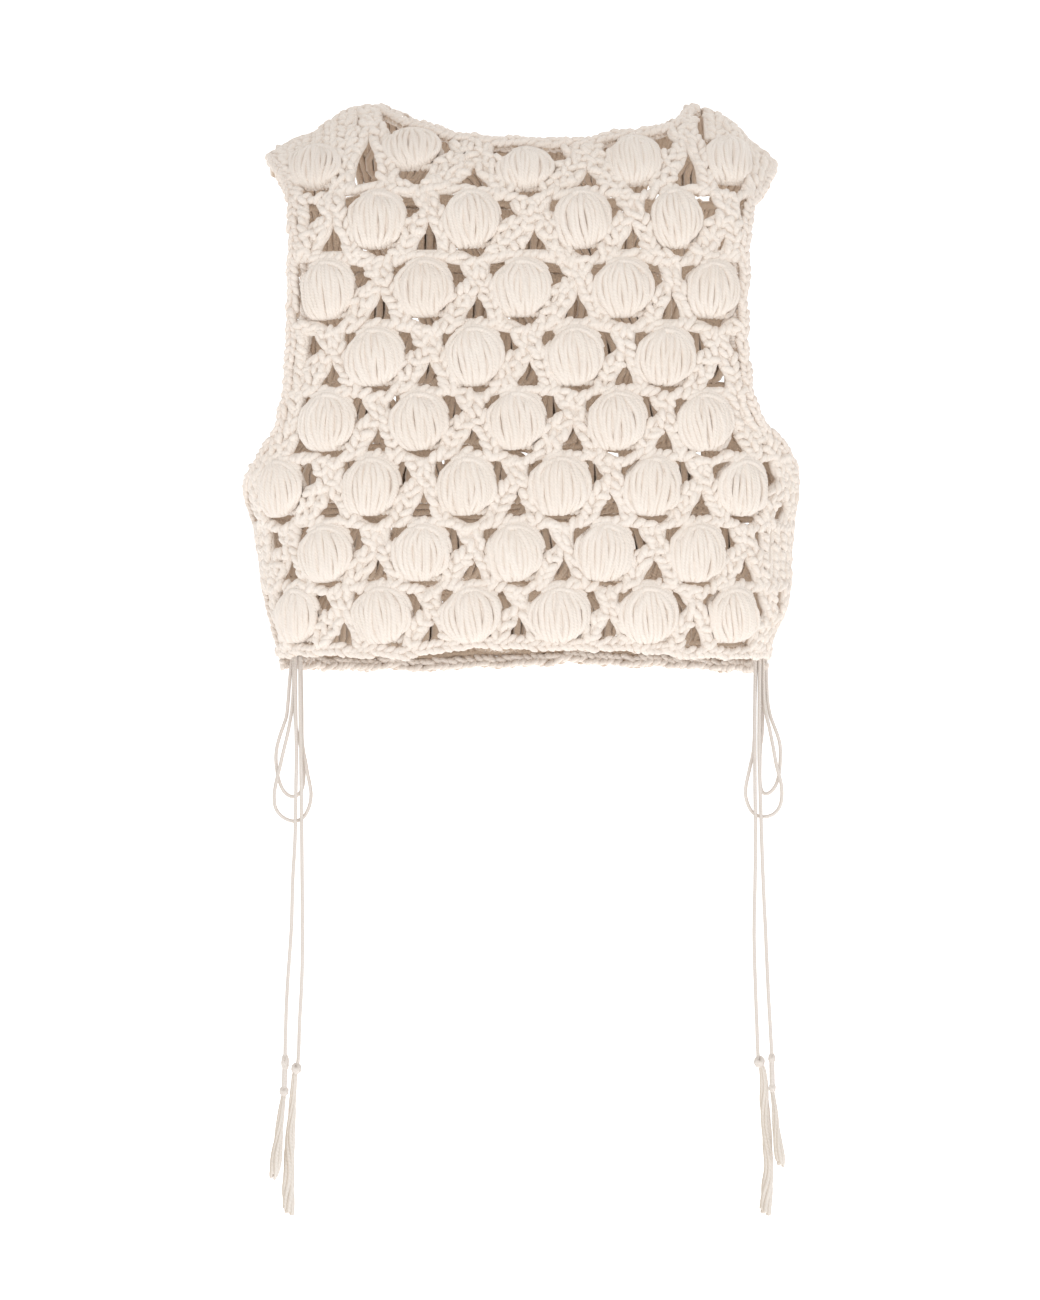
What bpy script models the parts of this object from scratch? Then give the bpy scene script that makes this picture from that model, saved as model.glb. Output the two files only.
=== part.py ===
"""Crochet top: a sleeveless, cropped and boxy top in thick cotton, laced at both sides.

Metres, +Z up. The front faces -Y. The origin is midway between the shoulders, level with the
highest point of the shoulder seams. "Left" is the side at -X and "right" the side at +X.
A "drop" is a distance below the origin.

The front and the back are two worked panels, and each is a wall over the same rounded form.
A level section of that form is a superellipse. Near the shoulder line its depth closes like a
quarter circle, so the two walls meet there edge to edge. Each edging is a tube along the
panels' own edge points, moved out. One lace closes each open side: it crosses down between
the two side edges, and is tied at the hem in a bow whose loops and ends hang free.
"""

import math
from collections import namedtuple

import bmesh
import bpy
import numpy as np

MM = 0.001

# The cloth.
WALL = 9.0 * MM  # worked thickness of a panel
SEAM_GAP = 0.3 * MM  # between pieces that touch
EDGING_RADIUS = 4.0 * MM
EDGING_SIDES = 8
HEM_EDGING_LONG = 6.4 * MM  # past a panel's corner, under the side edging's end
SIDE_EDGING_SHORT = 0.5 * MM  # above the hem edging
SECTION_POWER = 2.6  # of the superellipse: 2 is an ellipse, more is boxier
SHOULDER_ROUND = 100 * MM  # drop below the shoulder line where the full depth is reached
TIP_X = 192 * MM  # where a panel's shoulder ends
FRONT_HEM = 424.7 * MM
BACK_HEM = 434.2 * MM
UNDERARM = 306 * MM
SIDE_HALF_GAP = 17.5 * MM  # from the side line to a panel's open side edge

# The laces.
CORD_DIAMETER = 2.8 * MM
CORD_STEP = 2.7  # diameters from one point of a cord to the next
LAYER = 3.2 * MM  # from one layer of a bow to the next, front to back
KNOT_HALF_WIDTH = 6.6 * MM
KNOT_HALF_DEPTH = 6.6 * MM
KNOT_TOP = 420.5 * MM
KNOT_BOTTOM = 432.5 * MM
BOW_START = KNOT_BOTTOM + SEAM_GAP
LACE_CROSSINGS = 5
LACE_TOP = 313 * MM
LACE_BOTTOM = 405 * MM
LACE_RISE = 7.8 * MM  # straight up from the knot before it swings
LACE_SWING = 7.7 * MM  # how far a lace goes each way from the side line
LACE_OFFSET = 1.7 * MM  # of the outer and the inner run from the side's own surface

# Level sections of the form: half width at each side and half depth, at the wall's middle.
Section = namedtuple("Section", "drop left right depth")
SECTIONS = (
    Section(-0.020, 0.2400, 0.2400, 0.062),
    Section(0.050, 0.2360, 0.2360, 0.086),
    Section(0.120, 0.2280, 0.2280, 0.101),
    Section(0.200, 0.2220, 0.2220, 0.110),
    Section(0.290, 0.2155, 0.2130, 0.113),
    Section(0.306, 0.2130, 0.2115, 0.1125),
    Section(0.330, 0.2050, 0.2075, 0.111),
    Section(0.385, 0.1970, 0.2045, 0.106),
    Section(0.425, 0.1870, 0.1895, 0.101),
    Section(0.450, 0.1790, 0.1850, 0.098),
)

# The shoulder line's drop at each side, by distance from the middle.
Shoulder = namedtuple("Shoulder", "reach left right")
SHOULDERS = (
    Shoulder(0.000, 0.0000, 0.0000),
    Shoulder(0.110, 0.0060, 0.0050),
    Shoulder(0.130, 0.0080, 0.0050),
    Shoulder(0.145, 0.0155, 0.0095),
    Shoulder(0.160, 0.0265, 0.0175),
    Shoulder(0.175, 0.0325, 0.0330),
    Shoulder(0.192, 0.0410, 0.0455),
    Shoulder(0.210, 0.0520, 0.0590),
)

# The neck edge's drop from one shoulder point to the other, on each panel.
Neck = namedtuple("Neck", "x front back")
NECK = (
    Neck(-0.120, 0.0040, 0.0040),
    Neck(-0.100, 0.0190, 0.0125),
    Neck(-0.072, 0.0305, 0.0205),
    Neck(-0.040, 0.0405, 0.0270),
    Neck(0.000, 0.0435, 0.0290),
    Neck(0.036, 0.0443, 0.0293),
    Neck(0.058, 0.0410, 0.0272),
    Neck(0.076, 0.0365, 0.0245),
    Neck(0.100, 0.0335, 0.0222),
    Neck(0.118, 0.0275, 0.0180),
    Neck(0.131, 0.0170, 0.0110),
    Neck(0.140, 0.0040, 0.0040),
)

# The armhole edge's reach from the middle at each side, from the shoulder to the underarm.
Armhole = namedtuple("Armhole", "drop left right")
ARMHOLE = (
    Armhole(0.041, 0.1920, 0.1920),
    Armhole(0.060, 0.1815, 0.1865),
    Armhole(0.080, 0.1722, 0.1735),
    Armhole(0.110, 0.1702, 0.1662),
    Armhole(0.190, 0.1712, 0.1637),
    Armhole(0.232, 0.1752, 0.1684),
    Armhole(0.258, 0.1800, 0.1785),
    Armhole(0.277, 0.1925, 0.1985),
    Armhole(0.292, 0.2045, 0.2075),
    Armhole(0.306, 0.2123, 0.2108),
)

# How each panel is divided into faces.
SHOULDER_COLUMNS, NECK_COLUMNS = 6, 16
ARMHOLE_ROWS, SIDE_ROWS = 14, 5

# Routes of the bows, in mm from the knot's underside: sideways, and down.
Stop = namedtuple("Stop", "side down")
Bow = namedtuple("Bow", "x small_loop large_loop ends")
End = namedtuple("End", "cord knots tail")
Knot = namedtuple("Knot", "side down half_width half_height")
Tail = namedtuple("Tail", "side down half_width back")

LEFT_SMALL_LOOP = (
    Stop(-4.5, 0.0), Stop(-6.6, 20.0), Stop(-7.8, 36.0), Stop(-9.0, 47.0), Stop(-11.2, 54.0),
    Stop(-13.9, 61.7), Stop(-16.3, 70.5), Stop(-17.3, 79.0), Stop(-16.7, 88.0),
    Stop(-15.0, 97.0), Stop(-11.6, 105.0), Stop(-6.5, 109.6), Stop(-1.0, 109.2),
    Stop(3.0, 104.5), Stop(4.5, 96.0), Stop(4.1, 83.0), Stop(1.6, 69.0), Stop(-1.6, 55.0),
    Stop(-2.4, 36.0), Stop(-2.2, 18.0), Stop(-1.2, 0.0),
)
LEFT_LARGE_LOOP = (
    Stop(-3.0, 0.0), Stop(-3.2, 20.0), Stop(-4.4, 40.0), Stop(-6.6, 54.0), Stop(-8.2, 62.0),
    Stop(-10.0, 69.6), Stop(-11.9, 77.4), Stop(-13.8, 86.0), Stop(-15.7, 93.5),
    Stop(-17.4, 101.0), Stop(-18.4, 109.5), Stop(-17.6, 118.0), Stop(-13.6, 124.4),
    Stop(-7.6, 128.2), Stop(-0.9, 129.0), Stop(5.0, 125.4), Stop(9.0, 117.5),
    Stop(10.4, 109.0), Stop(9.5, 100.8), Stop(7.7, 92.0), Stop(6.2, 83.0), Stop(4.6, 75.0),
    Stop(3.4, 64.0), Stop(3.2, 44.0), Stop(2.8, 20.0), Stop(2.2, 0.0),
)
RIGHT_SMALL_LOOP = (
    Stop(4.5, 0.0), Stop(5.3, 20.0), Stop(6.0, 34.0), Stop(8.0, 46.0), Stop(10.8, 54.0),
    Stop(13.7, 61.7), Stop(15.7, 69.0), Stop(16.1, 77.0), Stop(15.8, 85.0),
    Stop(14.9, 93.0), Stop(12.6, 100.8), Stop(8.9, 106.0), Stop(4.6, 108.0), Stop(1.4, 105.4),
    Stop(0.1, 98.0), Stop(0.0, 86.0), Stop(0.4, 72.0), Stop(1.8, 60.0), Stop(2.0, 46.0),
    Stop(0.6, 30.0), Stop(0.4, 14.0), Stop(1.2, 0.0),
)
RIGHT_LARGE_LOOP = (
    Stop(2.4, 0.0), Stop(2.6, 20.0), Stop(3.2, 36.0), Stop(5.0, 47.0), Stop(7.2, 56.0),
    Stop(8.6, 63.0), Stop(10.1, 70.5), Stop(11.4, 78.0), Stop(12.9, 86.0), Stop(14.9, 93.5),
    Stop(16.6, 101.0), Stop(17.0, 109.0), Stop(15.6, 117.0), Stop(11.6, 122.8),
    Stop(5.4, 125.6), Stop(-1.2, 125.2), Stop(-6.4, 121.8), Stop(-9.8, 115.4),
    Stop(-11.4, 108.5), Stop(-10.9, 100.5), Stop(-9.2, 92.5), Stop(-7.4, 84.5),
    Stop(-5.6, 76.0), Stop(-4.6, 64.0), Stop(-4.3, 44.0), Stop(-3.6, 20.0), Stop(-2.8, 0.0),
)
BOWS = (
    Bow(
        -175.5,
        LEFT_SMALL_LOOP,
        LEFT_LARGE_LOOP,
        (
            End(
                (Stop(-1.6, 0.0), Stop(-1.5, 40.0), Stop(-0.9, 75.0), Stop(-1.4, 112.0),
                 Stop(-2.0, 144.0), Stop(-3.7, 175.0), Stop(-4.9, 214.0), Stop(-8.1, 261.0),
                 Stop(-9.4, 295.0), Stop(-9.7, 311.0)),
                (Knot(-9.7, 317.5, 3.1, 6.0), Knot(-10.6, 340.2, 3.6, 3.8)),
                (Tail(-10.9, 344.4, 2.0, 0), Tail(-12.9, 357.0, 2.8, -1),
                 Tail(-14.6, 375.0, 3.4, -2.2), Tail(-16.6, 394.0, 4.8, -3),
                 Tail(-18.4, 405.0, 3.6, -3), Tail(-19.0, 409.0, 2.0, -3)),
            ),
            End(
                (Stop(1.9, 0.0), Stop(2.1, 40.0), Stop(2.6, 75.0), Stop(3.1, 118.0),
                 Stop(3.4, 150.0), Stop(3.8, 191.0), Stop(4.0, 230.0), Stop(3.0, 261.0),
                 Stop(1.6, 287.0), Stop(0.9, 308.0), Stop(0.2, 317.8)),
                (Knot(-0.9, 322.4, 4.0, 4.2),),
                (Tail(-2.0, 327.0, 2.2, 0), Tail(-3.4, 340.0, 2.6, 1.6),
                 Tail(-4.5, 358.0, 3.1, 2.8), Tail(-6.2, 380.0, 4.0, 4),
                 Tail(-7.0, 402.0, 4.4, 3.6), Tail(-7.4, 420.0, 5.2, 3),
                 Tail(-6.8, 437.0, 4.6, 2)),
            ),
        ),
    ),
    Bow(
        186.5,
        RIGHT_SMALL_LOOP,
        RIGHT_LARGE_LOOP,
        (
            End(
                (Stop(-3.8, 0.0), Stop(-4.3, 34.0), Stop(-4.4, 70.0), Stop(-4.2, 104.0),
                 Stop(-3.7, 140.0), Stop(-4.2, 178.0), Stop(-4.9, 214.0), Stop(-4.3, 246.0),
                 Stop(-2.9, 285.0), Stop(-1.9, 312.0)),
                (Knot(-0.8, 317.2, 4.2, 4.6),),
                (Tail(1.4, 322.1, 2.6, 0), Tail(2.7, 334.0, 3.3, 1), Tail(3.3, 350.0, 3.8, 2),
                 Tail(5.2, 374.0, 4.0, 2.6), Tail(6.4, 398.0, 3.8, 2.6),
                 Tail(5.4, 416.0, 4.8, 2), Tail(3.6, 437.0, 5.2, 1)),
            ),
            End(
                (Stop(-0.4, 0.0), Stop(-0.8, 34.0), Stop(-1.0, 74.0), Stop(-0.2, 104.0),
                 Stop(1.0, 142.0), Stop(2.3, 178.0), Stop(4.0, 214.0), Stop(6.1, 261.0),
                 Stop(8.2, 298.0), Stop(8.9, 310.0)),
                (Knot(8.9, 314.5, 2.8, 4.0), Knot(9.3, 337.5, 2.8, 3.6)),
                (Tail(9.6, 341.6, 1.8, 0), Tail(11.1, 355.0, 2.4, -1.2),
                 Tail(12.6, 373.0, 3.2, -2), Tail(14.9, 390.0, 4.2, -2.4),
                 Tail(16.0, 399.0, 2.8, -2)),
            ),
        ),
    ),
)

COTTON = (0.86, 0.77, 0.69, 1.0)
LACE_COTTON = (0.78, 0.73, 0.68, 1.0)
COTTON_ROUGHNESS = 0.92


def through(table, key, value, at):
    """Read a table's column at any places: a cubic through its rows that never overshoots."""
    keys = np.array([getattr(row, key) for row in table])
    values = np.array([getattr(row, value) for row in table])
    step = np.diff(keys)
    rise = np.diff(values) / step
    product = rise[:-1] * rise[1:]
    total = np.where(rise[:-1] + rise[1:] == 0, 1, rise[:-1] + rise[1:])
    inner = np.where(product > 0, 2 * product / total, 0)
    slope = np.concatenate([rise[:1], inner, rise[-1:]])
    at = np.clip(np.asarray(at, float), keys[0], keys[-1])
    i = np.clip(np.searchsorted(keys, at) - 1, 0, len(step) - 1)
    t = (at - keys[i]) / step[i]
    start = (1 + 2 * t) * (1 - t) ** 2 * values[i] + t * (1 - t) ** 2 * step[i] * slope[i]
    end = t**2 * (3 - 2 * t) * values[i + 1] - t**2 * (1 - t) * step[i] * slope[i + 1]
    return start + end


def by_side(table, key, x, at):
    """Read the left column where x is negative, and the right one elsewhere."""
    return np.where(x < 0, through(table, key, "left", at), through(table, key, "right", at))


def across(x, drop):
    """How deep the level section is at x, from 1 in the middle to 0 at the side line."""
    share = np.abs(x) / by_side(SECTIONS, "drop", x, drop)
    return (1 - np.clip(share, 0, 1) ** SECTION_POWER) ** (1 / SECTION_POWER)


def closing(x, drop):
    """How near the shoulder line is: 1 on it, and 0 from SHOULDER_ROUND below it."""
    return np.clip(1 - (drop - by_side(SHOULDERS, "reach", x, np.abs(x))) / SHOULDER_ROUND, 0, 1)


def depth(x, drop):
    """Distance of the wall's middle from the shoulder plane."""
    full = through(SECTIONS, "drop", "depth", drop) * across(x, drop)
    return full * np.sqrt(1 - closing(x, drop) ** 2)


def form(points):
    """Zero on the form, and growing outwards from it."""
    x, y, drop = points[..., 0], points[..., 1], -points[..., 2]
    full = through(SECTIONS, "drop", "depth", drop) * across(x, drop)
    return (y / full) ** 2 + closing(x, drop) ** 2


def outward(points):
    """Unit normals of the form at points on it, from its slope along each axis."""
    small = 0.02 * MM
    steps = small * np.eye(3)
    slope = np.stack([form(points + step) - form(points - step) for step in steps], axis=-1)
    return slope / np.linalg.norm(slope, axis=-1, keepdims=True)


def side_reach(side, drop):
    """Distance from the middle to a panel's edge: the armhole's, then the open side's."""
    sign = np.full_like(drop, side)
    line = by_side(SECTIONS, "drop", sign, drop)
    share = SIDE_HALF_GAP / through(SECTIONS, "drop", "depth", drop)
    open_side = line * (1 - share**SECTION_POWER) ** (1 / SECTION_POWER)
    armhole = by_side(ARMHOLE, "drop", sign, drop)
    return np.where(drop < UNDERARM, armhole, open_side)


def columns():
    """Places across a panel, from -1 to 1, with one on each shoulder point of the neck."""
    left, right = NECK[0].x / TIP_X, NECK[-1].x / TIP_X
    toward_edge = 1 - (1 - np.arange(1, SHOULDER_COLUMNS + 1) / SHOULDER_COLUMNS) ** 1.7
    middle = np.linspace(left, right, NECK_COLUMNS + 1)
    outer_left = left + (-1 - left) * toward_edge
    outer_right = right + (1 - right) * toward_edge
    return np.concatenate([outer_left[::-1], middle, outer_right])


def rows(hem):
    """Places down a panel, from 0 to 1, closest at the shoulder and at the underarm."""
    tip = SHOULDERS[-2].left
    underarm = (UNDERARM - tip) / (hem - tip)
    upper = underarm * (1 - np.cos(np.linspace(0, math.pi, ARMHOLE_ROWS + 1))) / 2
    lower = np.linspace(underarm, 1, SIDE_ROWS + 1)[1:]
    return np.concatenate([upper, lower])


def panel_middle(neck_column, hem, facing):
    """The middle surface of a panel as a grid of points: rows down, columns across."""
    s = columns()
    x_top = s * TIP_X
    neck = through(NECK, "x", neck_column, x_top)
    shoulder = by_side(SHOULDERS, "reach", x_top, np.abs(x_top))
    in_neck = (x_top > NECK[0].x) & (x_top < NECK[-1].x)
    top = np.where(in_neck, np.maximum(neck, shoulder), shoulder)
    drop = top + (hem - top) * rows(hem)[:, None]
    reach = np.where(s < 0, side_reach(-1, drop), side_reach(1, drop))
    x = s * reach
    y = facing * depth(x, drop)
    return np.stack([x, y, -drop], axis=-1)


def add_object(name, data, colour=COTTON):
    """Put a mesh or curve in the scene, with its own material, under the root empty."""
    material = bpy.data.materials.new(name)
    material.use_nodes = True
    shader = material.node_tree.nodes["Principled BSDF"]
    shader.inputs["Base Color"].default_value = colour
    shader.inputs["Roughness"].default_value = COTTON_ROUGHNESS
    shader.inputs["Metallic"].default_value = 0.0
    data.materials.append(material)
    obj = bpy.data.objects.new(name, data)
    bpy.context.scene.collection.objects.link(obj)
    obj.parent = bpy.data.objects["crochet_top"]
    return obj


def add_mesh(name, points, faces, colour=COTTON):
    """Make a closed mesh with its faces pointing outwards."""
    mesh = bpy.data.meshes.new(name)
    mesh.from_pydata(np.reshape(points, (-1, 3)).tolist(), [], faces)
    work = bmesh.new()
    work.from_mesh(mesh)
    bmesh.ops.recalc_face_normals(work, faces=work.faces)
    work.to_mesh(mesh)
    work.free()
    mesh.shade_smooth()
    return add_object(name, mesh, colour)


def grid_faces(down, over, start=0):
    """Quads of a grid of points, stored row after row."""
    corner = start + np.arange(down * over).reshape(down, over)
    a, b, c, d = corner[:-1, :-1], corner[:-1, 1:], corner[1:, 1:], corner[1:, :-1]
    return np.stack([a, b, c, d], axis=-1).reshape(-1, 4).tolist()


def rim_faces(down, over):
    """Quads that join the rims of two equal grids, the second stored after the first."""
    corner = np.arange(down * over).reshape(down, over)
    rim = np.concatenate([corner[0, :-1], corner[:-1, -1], corner[-1, :0:-1], corner[:0:-1, 0]])
    following = np.roll(rim, -1)
    size = down * over
    return np.stack([rim, following, following + size, rim + size], axis=-1).tolist()


def add_panel(name, middle, facing):
    """Give a panel's middle surface its wall, half to each side, clear of the seam."""
    apart = np.array([0, facing * SEAM_GAP / 2, 0])
    normal = outward(middle)
    outer = middle + apart + normal * WALL / 2
    inner = middle + apart - normal * WALL / 2
    down, over = middle.shape[:2]
    faces = grid_faces(down, over) + grid_faces(down, over, start=down * over)
    return add_mesh(name, np.stack([outer, inner]), faces + rim_faces(down, over))


def moved_out(path, distance, closed=False):
    """Move a panel's edge points off the panel, along its surface, with mitred corners.

    The panel lies to the right of the path, seen from outside the body. Returns the new
    points, with the outward direction along the surface and the surface normal at each.
    """
    normal = outward(path)
    ahead = np.roll(path, -1, axis=0) - path
    if not closed:
        ahead[-1] = ahead[-2]
    off = np.cross((normal + np.roll(normal, -1, axis=0)) / 2, ahead)
    if not closed:
        off[-1] = off[-2]
    off /= np.linalg.norm(off, axis=1, keepdims=True)
    before = np.roll(off, 1, axis=0)
    if not closed:
        before[0] = off[0]
    mean = off + before
    mean /= np.linalg.norm(mean, axis=1, keepdims=True)
    mitre = distance / np.sum(mean * off, axis=1, keepdims=True)
    return path + mean * mitre, mean, normal


def add_edging(name, path, closed=False, overhang=0.0):
    """Carry a round edging along a panel's edge points, just clear of the panel."""
    centre, off, normal = moved_out(path, EDGING_RADIUS + SEAM_GAP, closed)
    if overhang:
        for end, inner in ((0, 1), (-1, -2)):
            run = centre[end] - centre[inner]
            centre[end] += run / np.linalg.norm(run) * overhang
    turn = 2 * math.pi * np.arange(EDGING_SIDES) / EDGING_SIDES
    ring = np.cos(turn)[:, None] * off[:, None] + np.sin(turn)[:, None] * normal[:, None]
    points = centre[:, None] + EDGING_RADIUS * ring
    return add_tube(name, points, closed)


def add_tube(name, rings, closed=False, colour=COTTON):
    """Skin a row of equal rings, with flat ends where it isn't closed."""
    count, sides = rings.shape[:2]
    index = np.arange(count * sides).reshape(count, sides)
    here = index if closed else index[:-1]
    there = np.roll(index, -1, axis=0) if closed else index[1:]
    quads = [here, np.roll(here, -1, axis=1), np.roll(there, -1, axis=1), there]
    faces = np.stack(quads, axis=-1).reshape(-1, 4).tolist()
    if not closed:
        faces += [index[0].tolist(), index[-1].tolist()]
    return add_mesh(name, rings, faces, colour)


def smooth_route(stops):
    """Points a few diameters apart on a smooth curve through a route's own points."""
    stops = np.array(stops, float)
    padded = np.concatenate([[2 * stops[0] - stops[1]], stops, [2 * stops[-1] - stops[-2]]])
    t = np.linspace(0, 1, 17)[:-1, None]
    fine = []
    for a, b, c, d in zip(padded, padded[1:], padded[2:], padded[3:]):
        bend = (2 * a - 5 * b + 4 * c - d) * t**2 + (3 * b - 3 * c + d - a) * t**3
        fine.append(b + 0.5 * ((c - a) * t + bend))
    fine = np.concatenate(fine + [stops[-1:]])
    along = np.concatenate([[0], np.cumsum(np.linalg.norm(np.diff(fine, axis=0), axis=1))])
    count = round(along[-1] / (CORD_STEP * CORD_DIAMETER)) + 1
    at = np.linspace(0, along[-1], max(count, 3))
    return np.stack([np.interp(at, along, fine[:, axis]) for axis in range(3)], axis=1)


def add_cord(name, route):
    """Lay a round cord along a route's own points."""
    points = smooth_route(route)
    curve = bpy.data.curves.new(name, "CURVE")
    curve.dimensions = "3D"
    curve.bevel_depth = CORD_DIAMETER / 2
    curve.bevel_resolution = 2
    curve.use_fill_caps = True
    spline = curve.splines.new("POLY")
    spline.points.add(len(points) - 1)
    spline.points.foreach_set("co", np.c_[points, np.ones(len(points))].ravel())
    spline.use_smooth = True
    return add_object(name, curve, LACE_COTTON)


def add_turned(name, centres, half_widths, half_depths, colour, sides=10):
    """Skin level ovals, one at each centre."""
    turn = 2 * math.pi * np.arange(sides) / sides
    reach = np.stack([np.cos(turn), np.sin(turn), np.zeros(sides)], axis=-1)
    size = np.stack([half_widths, half_depths, np.ones(len(centres))], axis=-1)
    return add_tube(name, np.asarray(centres)[:, None] + reach * size[:, None], colour=colour)


def add_knot(name, centre, half_width, half_depth, half_height):
    """A tied knot: a barrel with flat ends, for the cord to meet."""
    levels = np.array([1, 0.6, 0, -0.6, -1])
    swell = np.array([0.78, 0.96, 1, 0.96, 0.78])
    centres = np.array(centre) + levels[:, None] * np.array([0, 0, half_height])
    return add_turned(name, centres, half_width * swell, half_depth * swell, LACE_COTTON)


def add_cloth():
    """The two panels and every edging worked on them."""
    front = panel_middle("front", FRONT_HEM, -1)
    back = panel_middle("back", BACK_HEM, 1)
    add_panel("front_panel", front, -1)
    add_panel("back_panel", back, 1)
    neck = slice(SHOULDER_COLUMNS, SHOULDER_COLUMNS + NECK_COLUMNS + 1)
    neck_ring = np.concatenate([front[0, neck], back[0, neck][-2:0:-1]])
    add_edging("neck_edging", neck_ring, closed=True)
    left = np.concatenate([front[::-1, 0], back[1:, 0]])
    right = np.concatenate([back[::-1, -1], front[1:, -1]])
    add_edging("side_edging_left", left, overhang=-SIDE_EDGING_SHORT)
    add_edging("side_edging_right", right, overhang=-SIDE_EDGING_SHORT)
    add_edging("hem_edging_front", front[-1, ::-1], overhang=HEM_EDGING_LONG)
    add_edging("hem_edging_back", back[-1], overhang=HEM_EDGING_LONG)


def lacing_route(side, knot_x):
    """Up from the knot on the outer run, over at the top, and down on the inner run."""
    phase = np.linspace(0, LACE_CROSSINGS * math.pi, 4 * LACE_CROSSINGS + 1)
    drop = LACE_BOTTOM - (LACE_BOTTOM - LACE_TOP) * phase / phase[-1]
    line = side * by_side(SECTIONS, "drop", np.full_like(drop, side), drop)
    swing = LACE_SWING * np.cos(phase)
    outer = np.stack([line + side * LACE_OFFSET, swing, -drop], axis=-1)
    inner = np.stack([line - side * LACE_OFFSET, -swing, -drop], axis=-1)
    foot = np.array([knot_x, 0, -(KNOT_TOP - SEAM_GAP)])
    apart = LACE_OFFSET * np.array([side, 1, 0])
    rise = np.array([0, 0, LACE_RISE])
    start = [foot + apart, foot + apart + rise]
    finish = [foot - apart + rise, foot - apart]
    return np.concatenate([start, outer, inner[::-1], finish])


def add_bow(side_name, side, bow):
    """One side's lacing, its knot, two loops and two hanging ends with their tails."""
    x = bow.x * MM

    def place(stop, layer):
        return (x + stop.side * MM, layer * LAYER, -(BOW_START + stop.down * MM))

    add_cord(f"lacing_{side_name}", lacing_route(side, x))
    height = (KNOT_BOTTOM - KNOT_TOP) / 2
    middle = (x, 0, -(KNOT_TOP + height))
    add_knot(f"bow_knot_{side_name}", middle, KNOT_HALF_WIDTH, KNOT_HALF_DEPTH, height)
    add_cord(f"small_loop_{side_name}", [place(stop, 1) for stop in bow.small_loop])
    add_cord(f"large_loop_{side_name}", [place(stop, 0) for stop in bow.large_loop])
    for number, end in enumerate(bow.ends, 1):
        suffix = f"{side_name}_{number}"
        add_cord(f"free_end_{suffix}", [place(stop, -1) for stop in end.cord])
        for place_in_row, knot in enumerate(end.knots, 1):
            size = (knot.half_width * MM, knot.half_width * MM, knot.half_height * MM)
            add_knot(f"end_knot_{suffix}_{place_in_row}", place(knot, -1), *size)
        if len(end.knots) == 2:
            upper, lower = end.knots
            top = Stop(upper.side, upper.down + upper.half_height + SEAM_GAP / MM)
            foot = Stop(lower.side, lower.down - lower.half_height - SEAM_GAP / MM)
            add_cord(f"knot_link_{suffix}", [place(top, -1), place(foot, -1)])
        width = np.array([station.half_width for station in end.tail]) * MM
        centres = [place(station, -1 + station.back * MM / LAYER) for station in end.tail]
        add_turned(f"tail_{suffix}", centres, width, 0.7 * width, COTTON)


def main():
    for obj in list(bpy.data.objects):
        bpy.data.objects.remove(obj)
    root = bpy.data.objects.new("crochet_top", None)
    bpy.context.scene.collection.objects.link(root)
    add_cloth()
    for side_name, side, bow in zip(("left", "right"), (-1, 1), BOWS):
        add_bow(side_name, side, bow)


main()
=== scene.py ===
"""Looks of the crochet top: its worked yarn, its chained edges, its laces and its studio.

Metres, +Z up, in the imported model's own frame. The front faces -Y. A "drop" is a distance
below the origin, which is level with the highest point of the shoulder seams. The cloth is
two worked panels over one rounded form. Every strand of yarn is a tube that is carried along
a line on that form, so a stitch keeps its place and its size round the sides and the
shoulders. "Left" is the side at -X.
"""

from __future__ import annotations

import logging
import math
from dataclasses import dataclass, field
from enum import Enum
from typing import NamedTuple

import bpy
import numpy as np
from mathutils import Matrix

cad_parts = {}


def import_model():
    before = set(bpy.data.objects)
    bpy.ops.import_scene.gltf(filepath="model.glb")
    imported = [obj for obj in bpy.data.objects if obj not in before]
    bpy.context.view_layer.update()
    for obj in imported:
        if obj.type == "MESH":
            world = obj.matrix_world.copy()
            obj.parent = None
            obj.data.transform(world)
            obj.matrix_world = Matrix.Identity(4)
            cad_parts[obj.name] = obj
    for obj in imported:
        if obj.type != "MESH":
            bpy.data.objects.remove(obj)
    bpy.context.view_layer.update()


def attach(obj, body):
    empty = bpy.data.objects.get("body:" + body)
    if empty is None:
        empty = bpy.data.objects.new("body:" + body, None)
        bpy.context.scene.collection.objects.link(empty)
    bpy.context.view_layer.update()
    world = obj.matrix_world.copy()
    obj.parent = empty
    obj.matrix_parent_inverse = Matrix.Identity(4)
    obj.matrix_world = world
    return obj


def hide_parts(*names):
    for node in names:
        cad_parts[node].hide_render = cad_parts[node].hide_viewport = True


Array = np.ndarray
Material = bpy.types.Material
Piece = bpy.types.Object
Random = np.random.Generator

MM = 0.001
TURN = 2 * math.pi
ROOT = "root"
LOG = logging.getLogger("crochet_top")
SEED = 11


class Facing(Enum):
    """The two panels."""

    FRONT = -1
    BACK = 1


class Hand(Enum):
    """The two sides of the top."""

    LEFT = -1
    RIGHT = 1


# ---- The form that the panels are worked over ----------------------------------------


class Section(NamedTuple):
    """A level section of the form: half width at each side, and half depth."""

    drop: float
    left: float
    right: float
    depth: float


class Reach(NamedTuple):
    """A pair of sizes, one for each side, at one place."""

    at: float
    left: float
    right: float


class Edge(NamedTuple):
    """A pair of sizes, one for each panel, at one x."""

    x: float
    front: float
    back: float


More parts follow.
